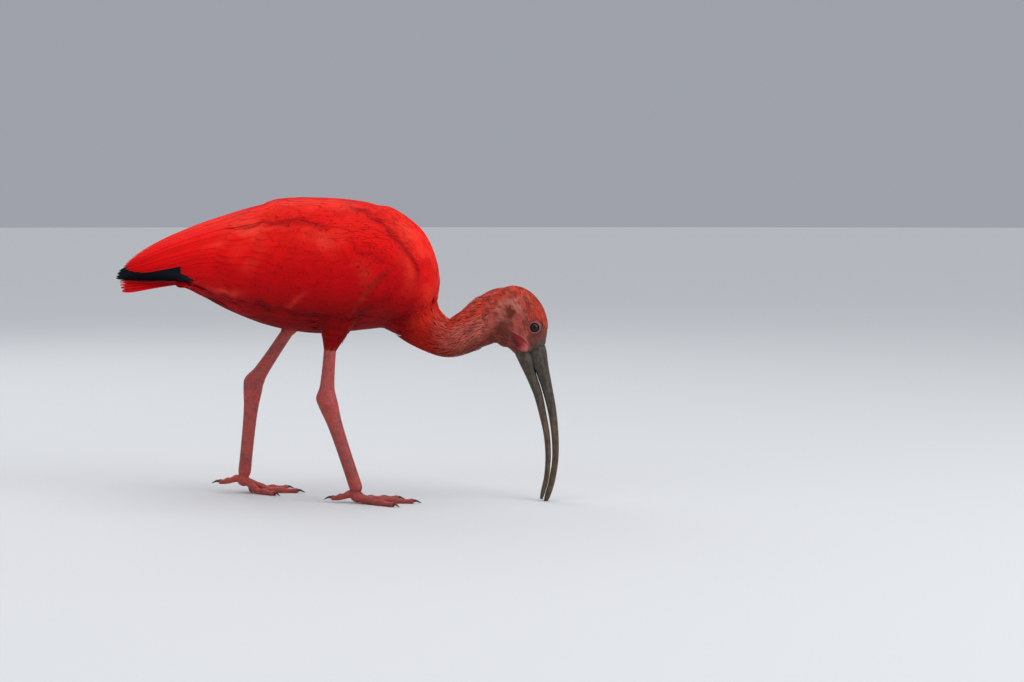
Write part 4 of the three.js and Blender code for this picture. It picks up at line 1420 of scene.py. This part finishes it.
# how feathers lie
NECK_BASE = np.array([124.0, -1, 160])
FACE_POINT = head_place(60, 0, 3)
BACK = np.array([-1.0, 0, -0.16])
DOWN = np.array([-0.3, 0, -1.0])


def thigh_share(points, low=0.42, high=0.7):
    """1 on the thighs and 0 off them, growing between two shares of their length."""
    share = np.zeros(len(points))
    for leg in LEGS.values():
        knee, way = leg["knee"], leg["feathers"] - leg["knee"]
        down = np.clip((points - knee) @ way / (way @ way), 0, 1)
        gap = np.linalg.norm(points - knee - down[:, None] * way, axis=1)
        gap = gap - lerp(THIGH_ROWS[0][1], THIGH_ROWS[-1][1], down)
        share = np.maximum(share, smooth(-gap, -4, 0) * smooth(down, low, high))
    return share


def thigh_height(points):
    """How far above the end of the leg's feathers a place is."""
    ends = [LEGS[name]["feathers"][2] for name in SIDES]
    return points[:, 2] - np.where(points[:, 1] < 0, *ends)


def body_lie(points):
    """Away from the neck over the breast and mantle, straight back farther off, and down by the thighs."""
    near = smooth(-np.linalg.norm(points - NECK_BASE, axis=1), -105, -45)[:, None]
    back = unit(points - NECK_BASE) * near + BACK * (1 - near)
    return unit(lerp(back, DOWN, thigh_share(points)[:, None]))


def neck_lie(points):
    """From the face over the head, and down the neck to the body."""
    centre, along, _, _ = tube_frames(NECK_ROWS, np.linspace(0, 1, 80))
    nearest = np.argmin(((points[:, None] - centre[None]) ** 2).sum(-1), 1)
    share = smooth(points[:, 0], 160, 192)[:, None]
    return unit(-along[nearest] * (1 - share) + unit(points - FACE_POINT) * share)


def thigh_lie(points):
    """Down the thigh, each point by the nearer leg."""
    ways = np.empty_like(points)
    for name, side in SIDES.items():
        ways[np.sign(points[:, 1]) == side] = unit(LEGS[name]["feathers"] - LEGS[name]["knee"])
    return unit(ways)


# where feathers grow
def between(values, low, high):
    return (values > low) & (values < high)


def around_body(points, row):
    """Degrees from the back's midline round the side, by a row of the body or of the wings."""
    middle = lerp(row[:, 2], row[:, 1], EQUATOR)
    return np.degrees(np.arctan2(np.abs(points[:, 1]), points[:, 2] - middle))


def around_wing(points):
    return around_body(points, wing_row(points[:, 0]))


BREAST_START = 62  # x where the breast's coat takes over from the body's
HEAD_COAT_START = 172  # x where the head's coat takes over from the neck's
BELLY = 153  # height under which only the legs are
# The wing hides the body before this x, and the scapulars the back between two; both within degrees.
WING_HIDES = (84, (40, 140))
SCAPULARS_HIDE = ((-46, 78), (7, 60))
ARM = ((-10, 96), (34, 148))
THIGH_ENDS = (4.0, 8.5)  # above the end of the feathers, on the right leg and the left


def on_torso(points):
    """The body outside the folded wings, and behind them."""
    x = points[:, 0]
    under_wing = (x < WING_HIDES[0]) & between(around_body(points, torso_row(x)), *WING_HIDES[1])
    under_scapulars = between(x, *SCAPULARS_HIDE[0]) & between(around_wing(points), *SCAPULARS_HIDE[1])
    on_leg = (thigh_share(points) > 0.5) | (points[:, 2] < BELLY)
    return ~under_wing & ~under_scapulars & (neck_share(points) < 0.5) & ~on_leg


def on_fore_torso(points):
    return on_torso(points) & (points[:, 0] > BREAST_START)


def on_rear_torso(points):
    return on_torso(points) & (points[:, 0] <= BREAST_START)


def on_wing_arm(points):
    return between(points[:, 0], *ARM[0]) & between(around_wing(points), *ARM[1])


def on_neck(points):
    return (neck_share(points) >= 0.5) & (points[:, 0] < HEAD_COAT_START) & (points[:, 2] < 200)


def off_bare(points):
    """The feathered part of the head: off the bare skin, the lids and the mouth."""
    along, side, front = in_head(points)
    across, down = gape_shares(along, front)
    gape = np.hypot(across / (GAPE_SIZE[0] + 1), down / (GAPE_SIZE[2] + 1)) < 1
    bare = (from_eye(along, front) < 7.6) & (np.abs(side) > 6)
    return ~bare & ~gape & (along < 50.5 + 0.2 * np.maximum(front - 4, 0))


def on_head(points):
    return (points[:, 0] > HEAD_COAT_START) & (points[:, 2] > 118) & off_bare(points)


def on_thigh(points):
    lowest = np.where(points[:, 1] < 0, *THIGH_ENDS)
    return (thigh_share(points, 0.0, 0.36) > 0.5) & (thigh_height(points) > lowest)


def everywhere(points):
    return np.ones(len(points), bool)


# how large feathers are, how far out they lie, and their colours
def level(value):
    return lambda points: value


def changing(start, end, measure, low, high):
    """A value that goes from start to end as a measure of the place goes from low to high."""
    return lambda points: lerp(start, end, smooth(measure(points), low, high))


def x_of(points):
    return points[:, 0]


def by_thigh(points):
    """Tufts are smaller where the thighs leave the body."""
    return 1 - 0.45 * thigh_share(points, 0.05, 0.3)


def body_length(points):
    x = points[:, 0]
    return (20 - 3.5 * smooth(x, 95, 130) + 8 * smooth(-x, 20, 80)) * by_thigh(points)


def body_half(points):
    return (4.4 - 0.6 * smooth(points[:, 0], 85, 125)) * by_thigh(points)


def coat_depth(points):
    """How far the plumage's surface is over the skin of the body."""
    x, around = points[:, 0], around_wing(points)
    return lerp(BODY_COAT, wing_coat(x, around), wing_share(x, around))


def body_depth(points):
    """A little under the whole depth, and well under it where the scapulars lie on top."""
    x = points[:, 0]
    covered = smooth(-x, -84, -70) * smooth(x, -60, -40) * smooth(points[:, 2], 240, 262)
    return coat_depth(points) - 0.4 - 3.2 * covered


def arm_depth(points):
    return coat_depth(points) - 0.6


def breast_colours(points, fine):
    """The body's colours, fading into the neck's."""
    return mix(scarlet_at(points, fine), head_colours(points, fine), neck_blend(points))


def thigh_colours(points, fine=0.0):
    """The body's colours above, with their painted maroon shade, fading into the leg where the feathers end,
    its red darkened there as painted shade under them.
    """
    starts = np.where(points[:, 1] < 0, -3, -12)
    ends = smooth(-thigh_height(points) + 4 * (waves(points, 3, 26) - 0.5) - starts, 0, 6)
    # Painted shade: the leg red under the feathers' ends is darkened.
    return mix(scarlet_at(points, fine), LEG_RED * 0.8, 0.85 * ends)


# For each coat: which skin it covers, how its tufts lie, their spacing, length, half width and height
# over the skin, the columns and rings of each tuft, its colours and its outline. Then how much tufts
# swerve, sink into the skin, tilt and differ in height, their thickness, camber and fraying, how much
# their tone and mottling vary, the painted shade at the root and the painted highlight at the edge, how
# deep folds go, strands to a tuft, where tips may lie, how quickly a tuft rises and how it slopes.
USUAL_LOOK = {
    "slot": "scarlet",
    "lie": body_lie,
    "depth": body_depth,
    "columns": 3,
    "rings": 6,
    "colours": scarlet_at,
    "outline": strand_outline,
    "swerve": 0.06,
    "sink": 0.6,
    "tilt": 0.012,
    "uneven": 0.02,
    "thick": 0.06,
    "camber": 0.03,
    "ragged": 0.03,
    "tone": 0.022,
    "mottle": 0.05,
    "root": 0.96,
    "edge": 0.02,
    "folded": 1.0,
    "strands": 5,
    "clear": everywhere,
    "quick": 8.0,
    "slope": 0.025,
}
BODY_LOOK = {**USUAL_LOOK, "length": body_length, "half": body_half}
HAIR_LOOK = {
    **USUAL_LOOK,
    "slot": "rose",
    "lie": neck_lie,
    "outline": hair_outline,
    "mottle": 0.1,
    "folded": 0.0,
    "strands": 1,
    "quick": 3.0,
}
COATS = {
    "coat_breast": {**BODY_LOOK, "wanted": on_fore_torso, "spacing": 3.35, "colours": breast_colours},
    "coat_body": {**BODY_LOOK, "wanted": on_rear_torso, "spacing": 4.2},
    "coat_wing": {
        **USUAL_LOOK,
        "wanted": on_wing_arm,
        "spacing": 4.3,
        "length": changing(25, 23, x_of, 50, 90),
        "half": level(5.0),
        "depth": arm_depth,
        "swerve": 0.04,
        "quick": 10.0,
        "slope": 0.02,
    },
    "coat_neck": {
        **HAIR_LOOK,
        "wanted": on_neck,
        "spacing": 1.2,
        "length": changing(13, 9, x_of, 116, 146),
        "half": changing(1.3, 0.72, x_of, 116, 146),
        "depth": level(NECK_COAT + 0.2),
        "rings": 5,
        "colours": breast_colours,
        "swerve": 0.12,
        "sink": 0.4,
        "tilt": 0.06,
        "thick": 0.08,
        "tone": 0.07,
        "root": 0.88,
    },
    "coat_head": {
        **HAIR_LOOK,
        "wanted": on_head,
        "spacing": 0.8,
        "length": level(4.6),
        "half": level(0.5),
        "depth": level(HEAD_COAT),
        "rings": 4,
        "colours": head_colours,
        "swerve": 0.16,
        "sink": 0.3,
        "tilt": 0.05,
        "thick": 0.05,
        "tone": 0.06,
        "root": 0.9,
        "clear": off_bare,
    },
    "coat_thighs": {
        **USUAL_LOOK,
        "wanted": on_thigh,
        "lie": thigh_lie,
        "spacing": 1.5,
        "length": changing(6, 11, thigh_height, 3, 16),
        "half": changing(0.9, 1.6, thigh_height, 2, 14),
        "depth": changing(0.75, 1.9, thigh_height, -1, 16),
        "rings": 5,
        "colours": thigh_colours,
        "sink": 0.3,
        "folded": 0.0,
        "strands": 1,
        "quick": 4.0,
    },
}


def make_coats(ground, plumage):
    """The tufts over breast, body, folded arm, neck, head and thighs."""
    fine = feather_material("neck_plumage", 0.76, 0.03, (0.1, 1.0, 0.3), 0.00008)
    materials = {"scarlet": plumage, "rose": fine}
    for name, look in COATS.items():
        coat = Coat()
        tract(coat, ground, look)
        coat.make(name, materials[look["slot"]], look["slot"])


# wing and tail feathers
def at_order(rows, order, count):
    """A row's value at a place counted in feathers, carried on straight past either end."""
    inside = np.clip(order, 0, count - 1)
    value = rows_at(rows, inside / (count - 1))
    inner = rows_at(rows, (inside - np.sign(order - inside)) / (count - 1))
    return value + (value - inner) * np.abs(order - inside)[..., None]


def rising(low, high, start, end):
    """A height that climbs from low to high on the way back from start to end."""
    return lambda x: lerp(low, high, smooth(-x, -start, -end))


# Roots and tips are rows of x and degrees round the wing, from the back's midline down.
# Reach is a feather's half width, counted in feathers, pitch how far one lies over the next, ridge how
# far the row sinks at the back, own how far a tip is cut square, round the share of the length that the
# tip's rounding takes, and cover the share that other feathers shade.
USUAL_ROW = {
    "reach": 1.0,
    "pitch": 0.55,
    "camber": 0.3,
    "ridge": 0.0,
    "own": 0.5,
    "round": 0.16,
    "cover": 0.3,
}
PRIMARIES = {
    **USUAL_ROW,
    "count": 9,
    "roots": [[-26, 74], [-26, 128]],
    "tips": [[-162, 50], [-168, 82], [-171, 114], [-171.5, 146], [-166, 158], [-148, 157], [-128, 150]],
    "height": rising(-9.4, -4.8, -80, -172),
    "own": 0.0,
}
TERTIALS = {
    **USUAL_ROW,
    "count": 11,
    "roots": [[-26, 6], [-26, 80]],
    "tips": [[-146, 11], [-155, 26], [-160, 44], [-161.5, 64], [-160.5, 82], [-156, 98], [-149, 109]],
    "height": rising(-5.8, -3.0, -28, -60),
    "round": 0.12,
    "cover": 0.32,
}
SECONDARIES = {
    **USUAL_ROW,
    "count": 7,
    "roots": [[-26, 84], [-26, 136]],
    "tips": [[-109, 104], [-109, 112], [-104, 121], [-98, 129], [-93, 137], [-87, 144]],
    "height": rising(-6.4, -3.8, -30, -60),
    "cover": 0.45,
}
GREATER_COVERTS = {
    **USUAL_ROW,
    "count": 15,
    "roots": [[-6, 52], [-6, 138]],
    "tips": [[-56, 52], [-68, 74], [-74, 98], [-67, 120], [-54, 142]],
    "height": rising(-4.8, -2.4, -8, -32),
    "round": 0.3,
    "cover": 0.45,
}
MEDIAN_COVERTS = {
    **USUAL_ROW,
    "count": 17,
    "roots": [[14, 50], [14, 139]],
    "tips": [[-26, 50], [-36, 76], [-41, 100], [-35, 122], [-24, 142]],
    "height": rising(-3.8, -1.5, 10, -14),
    "round": 0.34,
    "cover": 0.5,
}
SCAPULAR = {
    **USUAL_ROW,
    "count": 10,
    "reach": 1.15,
    "pitch": 0.5,
    "ridge": 2.4,
    "own": 0.65,
    "round": 0.4,
    "cover": 0.45,
}
# Roots, tips and rise of each row of scapulars, from the rearmost forwards.
SCAPULAR_PLACES = [
    ([[20, 4], [10, 51]], [[-29, 8], [-34, 20], [-47, 34], [-66, 48]], (-3.8, -2.0, 18, -4)),
    ([[46, 4], [38, 50]], [[-3, 8], [-12, 21], [-22, 34], [-37, 47]], (-3.6, -1.7, 44, 22)),
    ([[72, 4], [64, 49]], [[24, 8], [16, 21], [6, 34], [-7, 46]], (-3.5, -1.4, 70, 48)),
    ([[94, 4], [88, 47]], [[50, 8], [44, 20], [34, 32], [22, 44]], (-3.4, -1.1, 88, 68)),
]
SCAPULARS = [
    {**SCAPULAR, "roots": roots, "tips": tips, "height": rising(*rise)}
    for roots, tips, rise in SCAPULAR_PLACES
]


def long_outline(shares, rounding):
    """Half width along a large feather, as a share of its greatest. Rounding is the share its tip takes."""
    tip = np.sqrt(np.clip(1 - (np.maximum(shares - 1 + rounding, 0) / (rounding + 0.003)) ** 2, 0, 1))
    return (0.72 + 0.28 * smooth(shares, 0, 0.35)) * np.maximum(tip, 0.1)


def vane_tones(number, across, shares, cover):
    """Light and dark over large feathers: a painted highlight along the edge, and painted shade where another
    feather lies over them.
    """
    edge = np.maximum(smooth(across, 0.8, 1)[None], smooth(shares, 0.965, 1)[:, None])
    shade_of = 1 - 0.1 * (1 - smooth(across, -0.1, 0.34))[None] + 0.05 * edge
    shade_of = shade_of * lerp(0.9, 1, smooth(shares, cover - 0.12, cover + 0.12))[:, None]
    strand = rng.normal(1, 0.022, (number, 1, len(across)))
    return shade_of[None] * strand * rng.normal(1, 0.035, (number, 1, 1))


VANE_RINGS = 20
VANE_COLUMNS = 11
VANE_THICKNESS = 0.3
VANE_POWER = 1.35  # how much closer the rings are at the tip


def long_vanes(coat, side, row, colour_of):
    """A row of large feathers on the folded wing, the topmost first, each lying on the next."""
    shares = ring_shares(VANE_RINGS, VANE_POWER)
    orders = np.arange(row["count"], dtype=float)[:, None, None]
    across = np.linspace(-1, 1, VANE_COLUMNS)
    outline = long_outline(shares, row["round"])[None, :, None]
    order = orders + outline * row["reach"] * across
    root = at_order(row["roots"], order, row["count"])
    tip = at_order(row["tips"], order, row["count"])
    own = at_order(row["tips"], orders + 0 * order, row["count"])[..., 0]
    stagger = rng.uniform(-1.5, 1.5, (row["count"], 1, 1))
    x = lerp(root[..., 0], lerp(tip[..., 0], own, row["own"]) + stagger, shares[None, :, None])
    degrees = lerp(root[..., 1], tip[..., 1], shares[None, :, None])
    level_of = row["height"](x) - row["ridge"] * smooth(-degrees, -42, -8)
    rounded = row["camber"] * (1 - across**2) * outline + 0.15 * np.exp(-((across / 0.12) ** 2))
    stack = rng.uniform(-0.08, 0.08, (row["count"], 1, 1))
    height = level_of + row["pitch"] * (order - orders) + rounded + stack
    top = on_wing(x, degrees, height, side)
    height = height - 0.7 * fold_depth(top.reshape(-1, 3)).reshape(height.shape)
    top = on_wing(x, degrees, height, side)
    middle = VANE_COLUMNS // 2
    below = level_of[..., middle] + 0.4 * row["camber"] - VANE_THICKNESS
    beneath = on_wing(x[..., middle], degrees[..., middle], below, side)
    tones = vane_tones(row["count"], across, shares, row["cover"])
    add_large(coat, side, top, beneath, across, shares, colour_of, tones)


def add_large(coat, side, top, beneath, across, shares, colour_of, tones):
    """Adds large feathers with the colour of each of their points, mirrored on the left."""
    if side > 0:
        top, across, tones = top[:, :, ::-1], across[::-1], tones[..., ::-1]
    middle = len(across) // 2
    spans = np.linalg.norm(np.diff(top, axis=2), axis=-1).sum(2) / 2
    steps = np.linalg.norm(np.diff(top[:, :, middle], axis=1), axis=-1)
    along = np.concatenate([np.zeros((len(top), 1)), np.cumsum(steps, 1)], 1)
    colours = colour_of(top.reshape(-1, 3)).reshape(top.shape) * tones[..., None]
    # Painted shade on the underside: the point beneath each ring is darker.
    colours = np.concatenate([colours, colours[:, :, middle : middle + 1] * 0.8], 2)
    across = np.append(across, 0) * spans[..., None]
    coat.add_grid(top, beneath, across, shares, along, colours, top[:, 0, middle])


def primary_colours(points):
    """Black, but for the part that other feathers hide."""
    dark = smooth(-points[:, 0] + 3 * np.sin(points[:, 2]), 84, 96)
    return mix(SCARLET_DEEP + 0 * points, BLACK, dark)


# For each piece of the wing: its rows of feathers, their colours, and the slot and node it stands for.
WING_PIECES = {
    "primary_vanes": ([PRIMARIES], primary_colours, "black", "primaries"),
    "secondary_vanes": ([SECONDARIES, TERTIALS], scarlet_at, "scarlet", "secondaries"),
    "covert_vanes": ([GREATER_COVERTS, MEDIAN_COVERTS], scarlet_at, "scarlet", "wing_coverts"),
    "scapular_vanes": (SCAPULARS, scarlet_at, "scarlet", "scapulars"),
}


def make_wing(name, side, materials):
    for piece, (rows, colour_of, slot, node_name) in WING_PIECES.items():
        coat = Coat()
        for row in rows:
            long_vanes(coat, side, row, colour_of)
        coat.make(f"{piece}_{name}", materials[slot], slot, f"{node_name}_{name}")


TAIL_COUNT = 6  # feathers to a side
TAIL_RINGS = 16
TAIL_COLUMNS = 9
TAIL_ROOT = -98
TAIL_TIP = -167.5
TAIL_THICKNESS = 0.6
TAIL_COVER = 0.2


def make_tail(material):
    """The tail, slightly fanned and arched, its middle feathers on top."""
    coat = Coat()
    shares = ring_shares(TAIL_RINGS, VANE_POWER)
    outline = long_outline(shares, 0.2)[None, :, None]
    orders = np.arange(TAIL_COUNT)[:, None, None]
    across = np.linspace(-1, 1, TAIL_COLUMNS)
    order = orders + outline * across
    share = np.broadcast_to(shares[None, :, None], order.shape)
    x = lerp(TAIL_ROOT, TAIL_TIP + 0.2 * np.maximum(0, order) ** 2, share)
    off = lerp(1.9, 4, share) * (order + 0.55)
    base = lerp(204.6, 204.4, share**1.5) - 0.019 * off**2
    height = base + 0.8 * (order - orders) + 0.3 * (1 - across**2)
    for side in SIDES.values():
        top = np.stack([x, side * np.maximum(off, 0.15), height], -1)
        beneath = top[:, :, TAIL_COLUMNS // 2] - [0, 0, TAIL_THICKNESS]
        tones = vane_tones(TAIL_COUNT, across, shares, TAIL_COVER)
        add_large(coat, side, top, beneath, across, shares, scarlet_at, tones)
    coat.make("tail_vanes", material, "scarlet", "tail")


# bill, eyes and claws
HORN_GREY = linear(72, 65, 57)
HORN_STREAK_AND_SHADE = linear(38, 34, 30)
HORN_WARM = linear(98, 78, 57)
HORN_AMBER = linear(88, 66, 40)
GROOVE_TURN = 62  # degrees from the bill's ridge
GROOVE_DEPTH = 0.13  # share of the bill's reach
NOSTRIL_DEPTH = 0.09


def make_bill(name, rows, upper, material):
    """Half of the bill, with the grooves and the nostril slits in the upper one."""
    steps, count = 150, 64
    shares = np.linspace(0, 1, steps + 1)
    row = rows_at(rows, shares)
    z = row[:, 2:3]
    centre, _, side, up = tube_frames(rows, shares)
    angle = 2 * np.pi * np.arange(count) / count
    c, s = np.cos(angle), np.sin(angle)
    # the halves face each other with flat, broad edges that close at the base and towards the tip
    facing = -c if upper else c
    inner = np.maximum(facing, 0)
    closing = 0.4 * smooth(-z, -34, -22) + 1.8 * smooth(z, 119, 128)
    reach = (row[:, 3:4] + closing * inner) * c
    half = row[:, 4:5] * np.sign(s) * np.abs(s) ** lerp(1, 0.55, inner)
    turned_by = np.abs(np.degrees(np.arctan2(np.abs(s), c)))
    in_reach = smooth(z, NOSTRIL[0], NOSTRIL[0] + 3) * smooth(-z, -NOSTRIL[1], 3 - NOSTRIL[1])
    nostril = upper * in_reach * np.exp(-(((turned_by[None] - NOSTRIL_TURN) / 6) ** 2))
    if upper:
        groove = GROOVE_DEPTH * np.exp(-(((turned_by - GROOVE_TURN) / 9) ** 2))
        depth = groove[None] * smooth(-shares, -0.9, -0.55)[:, None] + NOSTRIL_DEPTH * nostril
        reach, half = reach * (1 - depth), half * (1 - depth)
    points = centre[:, None] + side[:, None] * half[..., None] + up[:, None] * reach[..., None]
    turned, faces = loft(roll(points))
    turned[:, 2] = np.maximum(turned[:, 2], 0)
    piece = new_mesh(f"{name}_horn", turned, faces)
    down = np.clip((150 - turned[:, 2]) / 150, 0, 1)
    streaks = waves(turned * [1, 1, 0.05], 3.5, 51)
    inner = np.append(np.tile(facing, len(shares)), [-1, -1] if upper else [1, 1])
    colours = layered(
        mix(HORN_GREY, HORN_WARM, smooth(down, 0.3, 0.6)),
        (HORN_AMBER, smooth(down, 0.58, 0.85) * 0.8),
        (HORN_STREAK_AND_SHADE, 0.4 * smooth(streaks, 0.42, 0.72)),
        (HORN_WARM, 0.35 * smooth(waves(turned, 7, 52), 0.45, 0.75)),
        (HORN_STREAK_AND_SHADE, 0.45 * smooth(waves(turned, 4, 53), 0.5, 0.8)),
        # Painted shade where the halves face each other, and in the nostril slits.
        (HORN_STREAK_AND_SHADE, 0.75 * smooth(inner, 0.7, 0.95)),
        (HORN_STREAK_AND_SHADE * 0.7, 0.8 * np.append(nostril.ravel(), [0, 0])),
    )
    paint(piece.data, "paint", colours)
    finish_piece(piece, material, [name])


PUPIL = linear(5, 4, 4)
IRIS = linear(30, 15, 11)
IRIS_EDGE = linear(20, 12, 10)


def make_eye(name, side):
    """The ball of the eye: a dark brown iris round the pupil."""
    radius = EYE_RADIUS
    along, front, out = ball_rings(40, 48, 0.001, (radius, radius, radius))
    points, faces = loft(head_place(EYE_PLACE[0] + along, side * (EYE_PLACE[1] + out), EYE_PLACE[2] + front))
    eye = new_mesh(f"eyeball_{name}", points, faces)
    bm = bmesh.new()
    bm.from_mesh(eye.data)
    bmesh.ops.recalc_face_normals(bm, faces=bm.faces)
    bm.to_mesh(eye.data)
    bm.free()
    along, _, front = in_head(points)
    radial = from_eye(along, front)
    colours = mix(mix(PUPIL, IRIS, smooth(radial, 1.9, 2.3)), IRIS_EDGE, smooth(radial, 3.4, 4.0))
    paint(eye.data, "paint", colours)
    finish_piece(eye, eye_material(f"wet_eye_{name}"), [f"eye_{name}"])


CLAW_ROOT = 0.9  # how far a claw starts inside the toe
CLAW_LIGHT = linear(86, 62, 54)
CLAW_DARK = linear(48, 36, 32)


def claw_shape(leg, side, which):
    """A claw that rises a little from the toe's tip and bends down to its own."""
    tip = toe_rows(leg, side, which)[-1, :3]
    heading = heading_of(leg, side, TOE_TURNS[which])
    rows = []
    for share in np.linspace(0, 1, 6):
        at = tip + heading * (-CLAW_ROOT + (CLAW_LENGTH + 1.2) * share)
        at[2] = tip[2] + 0.5 * math.sin(math.pi * share) - 1.5 * float(smooth(share, 0.3, 1))
        radius = lerp(TOE_TIP * 0.72, 0.3, share)
        rows.append([*at, radius, radius * 0.8])
    points, faces = tube(rows, 20, 16)
    points[:, 2] = np.maximum(points[:, 2], 0)
    return points, faces


def make_claws():
    """All eight claws as one piece."""
    places = [(name, which) for name in SIDES for which in TOE_TURNS]
    shapes = [claw_shape(LEGS[name], SIDES[name], which) for name, which in places]
    claws = new_mesh("claws", *gather(*shapes))
    paint(claws.data, "paint", mix(CLAW_LIGHT, CLAW_DARK, waves(points_of(claws.data), 8, 31)))
    finish_piece(claws, horn_material(), [f"claw_{which}_{name}" for name, which in places])


# stage
CAMERA = np.array([198.2, -2000, 271])
FOCAL_PIXELS = 2139
PICTURE = (1024, 682)
HORIZON = 209  # row of the photo
SENSOR = 36
FLOOR_RADIUS = 30  # metres
AIM = (0.0, 0.0, 0.15)
# Kind of light, place in metres and power.
LIGHTS = {
    "key": ("AREA", (1.8, -1.0, 1.4), 30),
    "fill": ("AREA", (-1.5, -1.4, 1.5), 10),
    "back": ("AREA", (-1.0, 1.5, 1.8), 14),
    "overhead": ("SUN", (0.3, 0.0, 3.0), 1.3),
}


def linked(name, data):
    """A camera or light in the scene."""
    obj = bpy.data.objects.new(name, data)
    bpy.context.scene.collection.objects.link(obj)
    return obj


def make_camera():
    camera = bpy.data.cameras.new("camera")
    camera.sensor_width = SENSOR
    camera.lens = SENSOR * FOCAL_PIXELS / PICTURE[0]
    camera.clip_end = 200
    eye = linked("camera", camera)
    eye.location = place(CAMERA)
    down = math.atan((PICTURE[1] / 2 - HORIZON) / FOCAL_PIXELS)
    eye.rotation_euler = (math.pi / 2 - down, 0, 0)
    bpy.context.scene.camera = eye


def make_stage():
    """A pale floor and soft studio light."""
    bpy.ops.mesh.primitive_circle_add(vertices=96, radius=FLOOR_RADIUS, fill_type="NGON", location=(0, 0, 0))
    floor = bpy.context.object
    floor.name = "floor"
    material, _, _ = new_material("pale_floor", Roughness=0.75, Base_Color=(0.6, 0.61, 0.62, 1))
    floor.data.materials.append(material)

    world = bpy.data.worlds.new("sky")
    world.use_nodes = True
    background = world.node_tree.nodes["Background"]
    background.inputs["Color"].default_value = (0.86, 0.9, 1.0, 1)
    background.inputs["Strength"].default_value = 0.4
    bpy.context.scene.world = world
    for name, (kind, at, power) in LIGHTS.items():
        lamp = bpy.data.lights.new(name, kind)
        lamp.energy = power
        if kind == "AREA":
            lamp.size = 1.6
        else:
            lamp.angle = math.radians(55)
        obj = linked(name, lamp)
        obj.location = at
        obj.rotation_euler = (Vector(AIM) - Vector(at)).to_track_quat("-Z", "Y").to_euler()
    bpy.context.scene.view_settings.view_transform = "Standard"


make_camera()
make_stage()
plumage = feather_material("plumage", 0.68, 0.02, (0.35, 1.0, 0.42))
ink = feather_material("ink", 0.45, 0.05, (1.0, 0.8, 0.55), sheen_tint=(0.5, 0.6, 0.8, 1.0))
make_coats(Ground(*make_skin()), plumage)
for side_name, side in SIDES.items():
    make_wing(side_name, side, {"scarlet": plumage, "black": ink})
make_tail(plumage)
horn = horn_material()
make_bill("bill_upper", BILL_UPPER_ROWS, True, horn)
make_bill("bill_lower", BILL_LOWER_ROWS, False, horn)
for side_name, side in SIDES.items():
    make_eye(side_name, side)
make_claws()
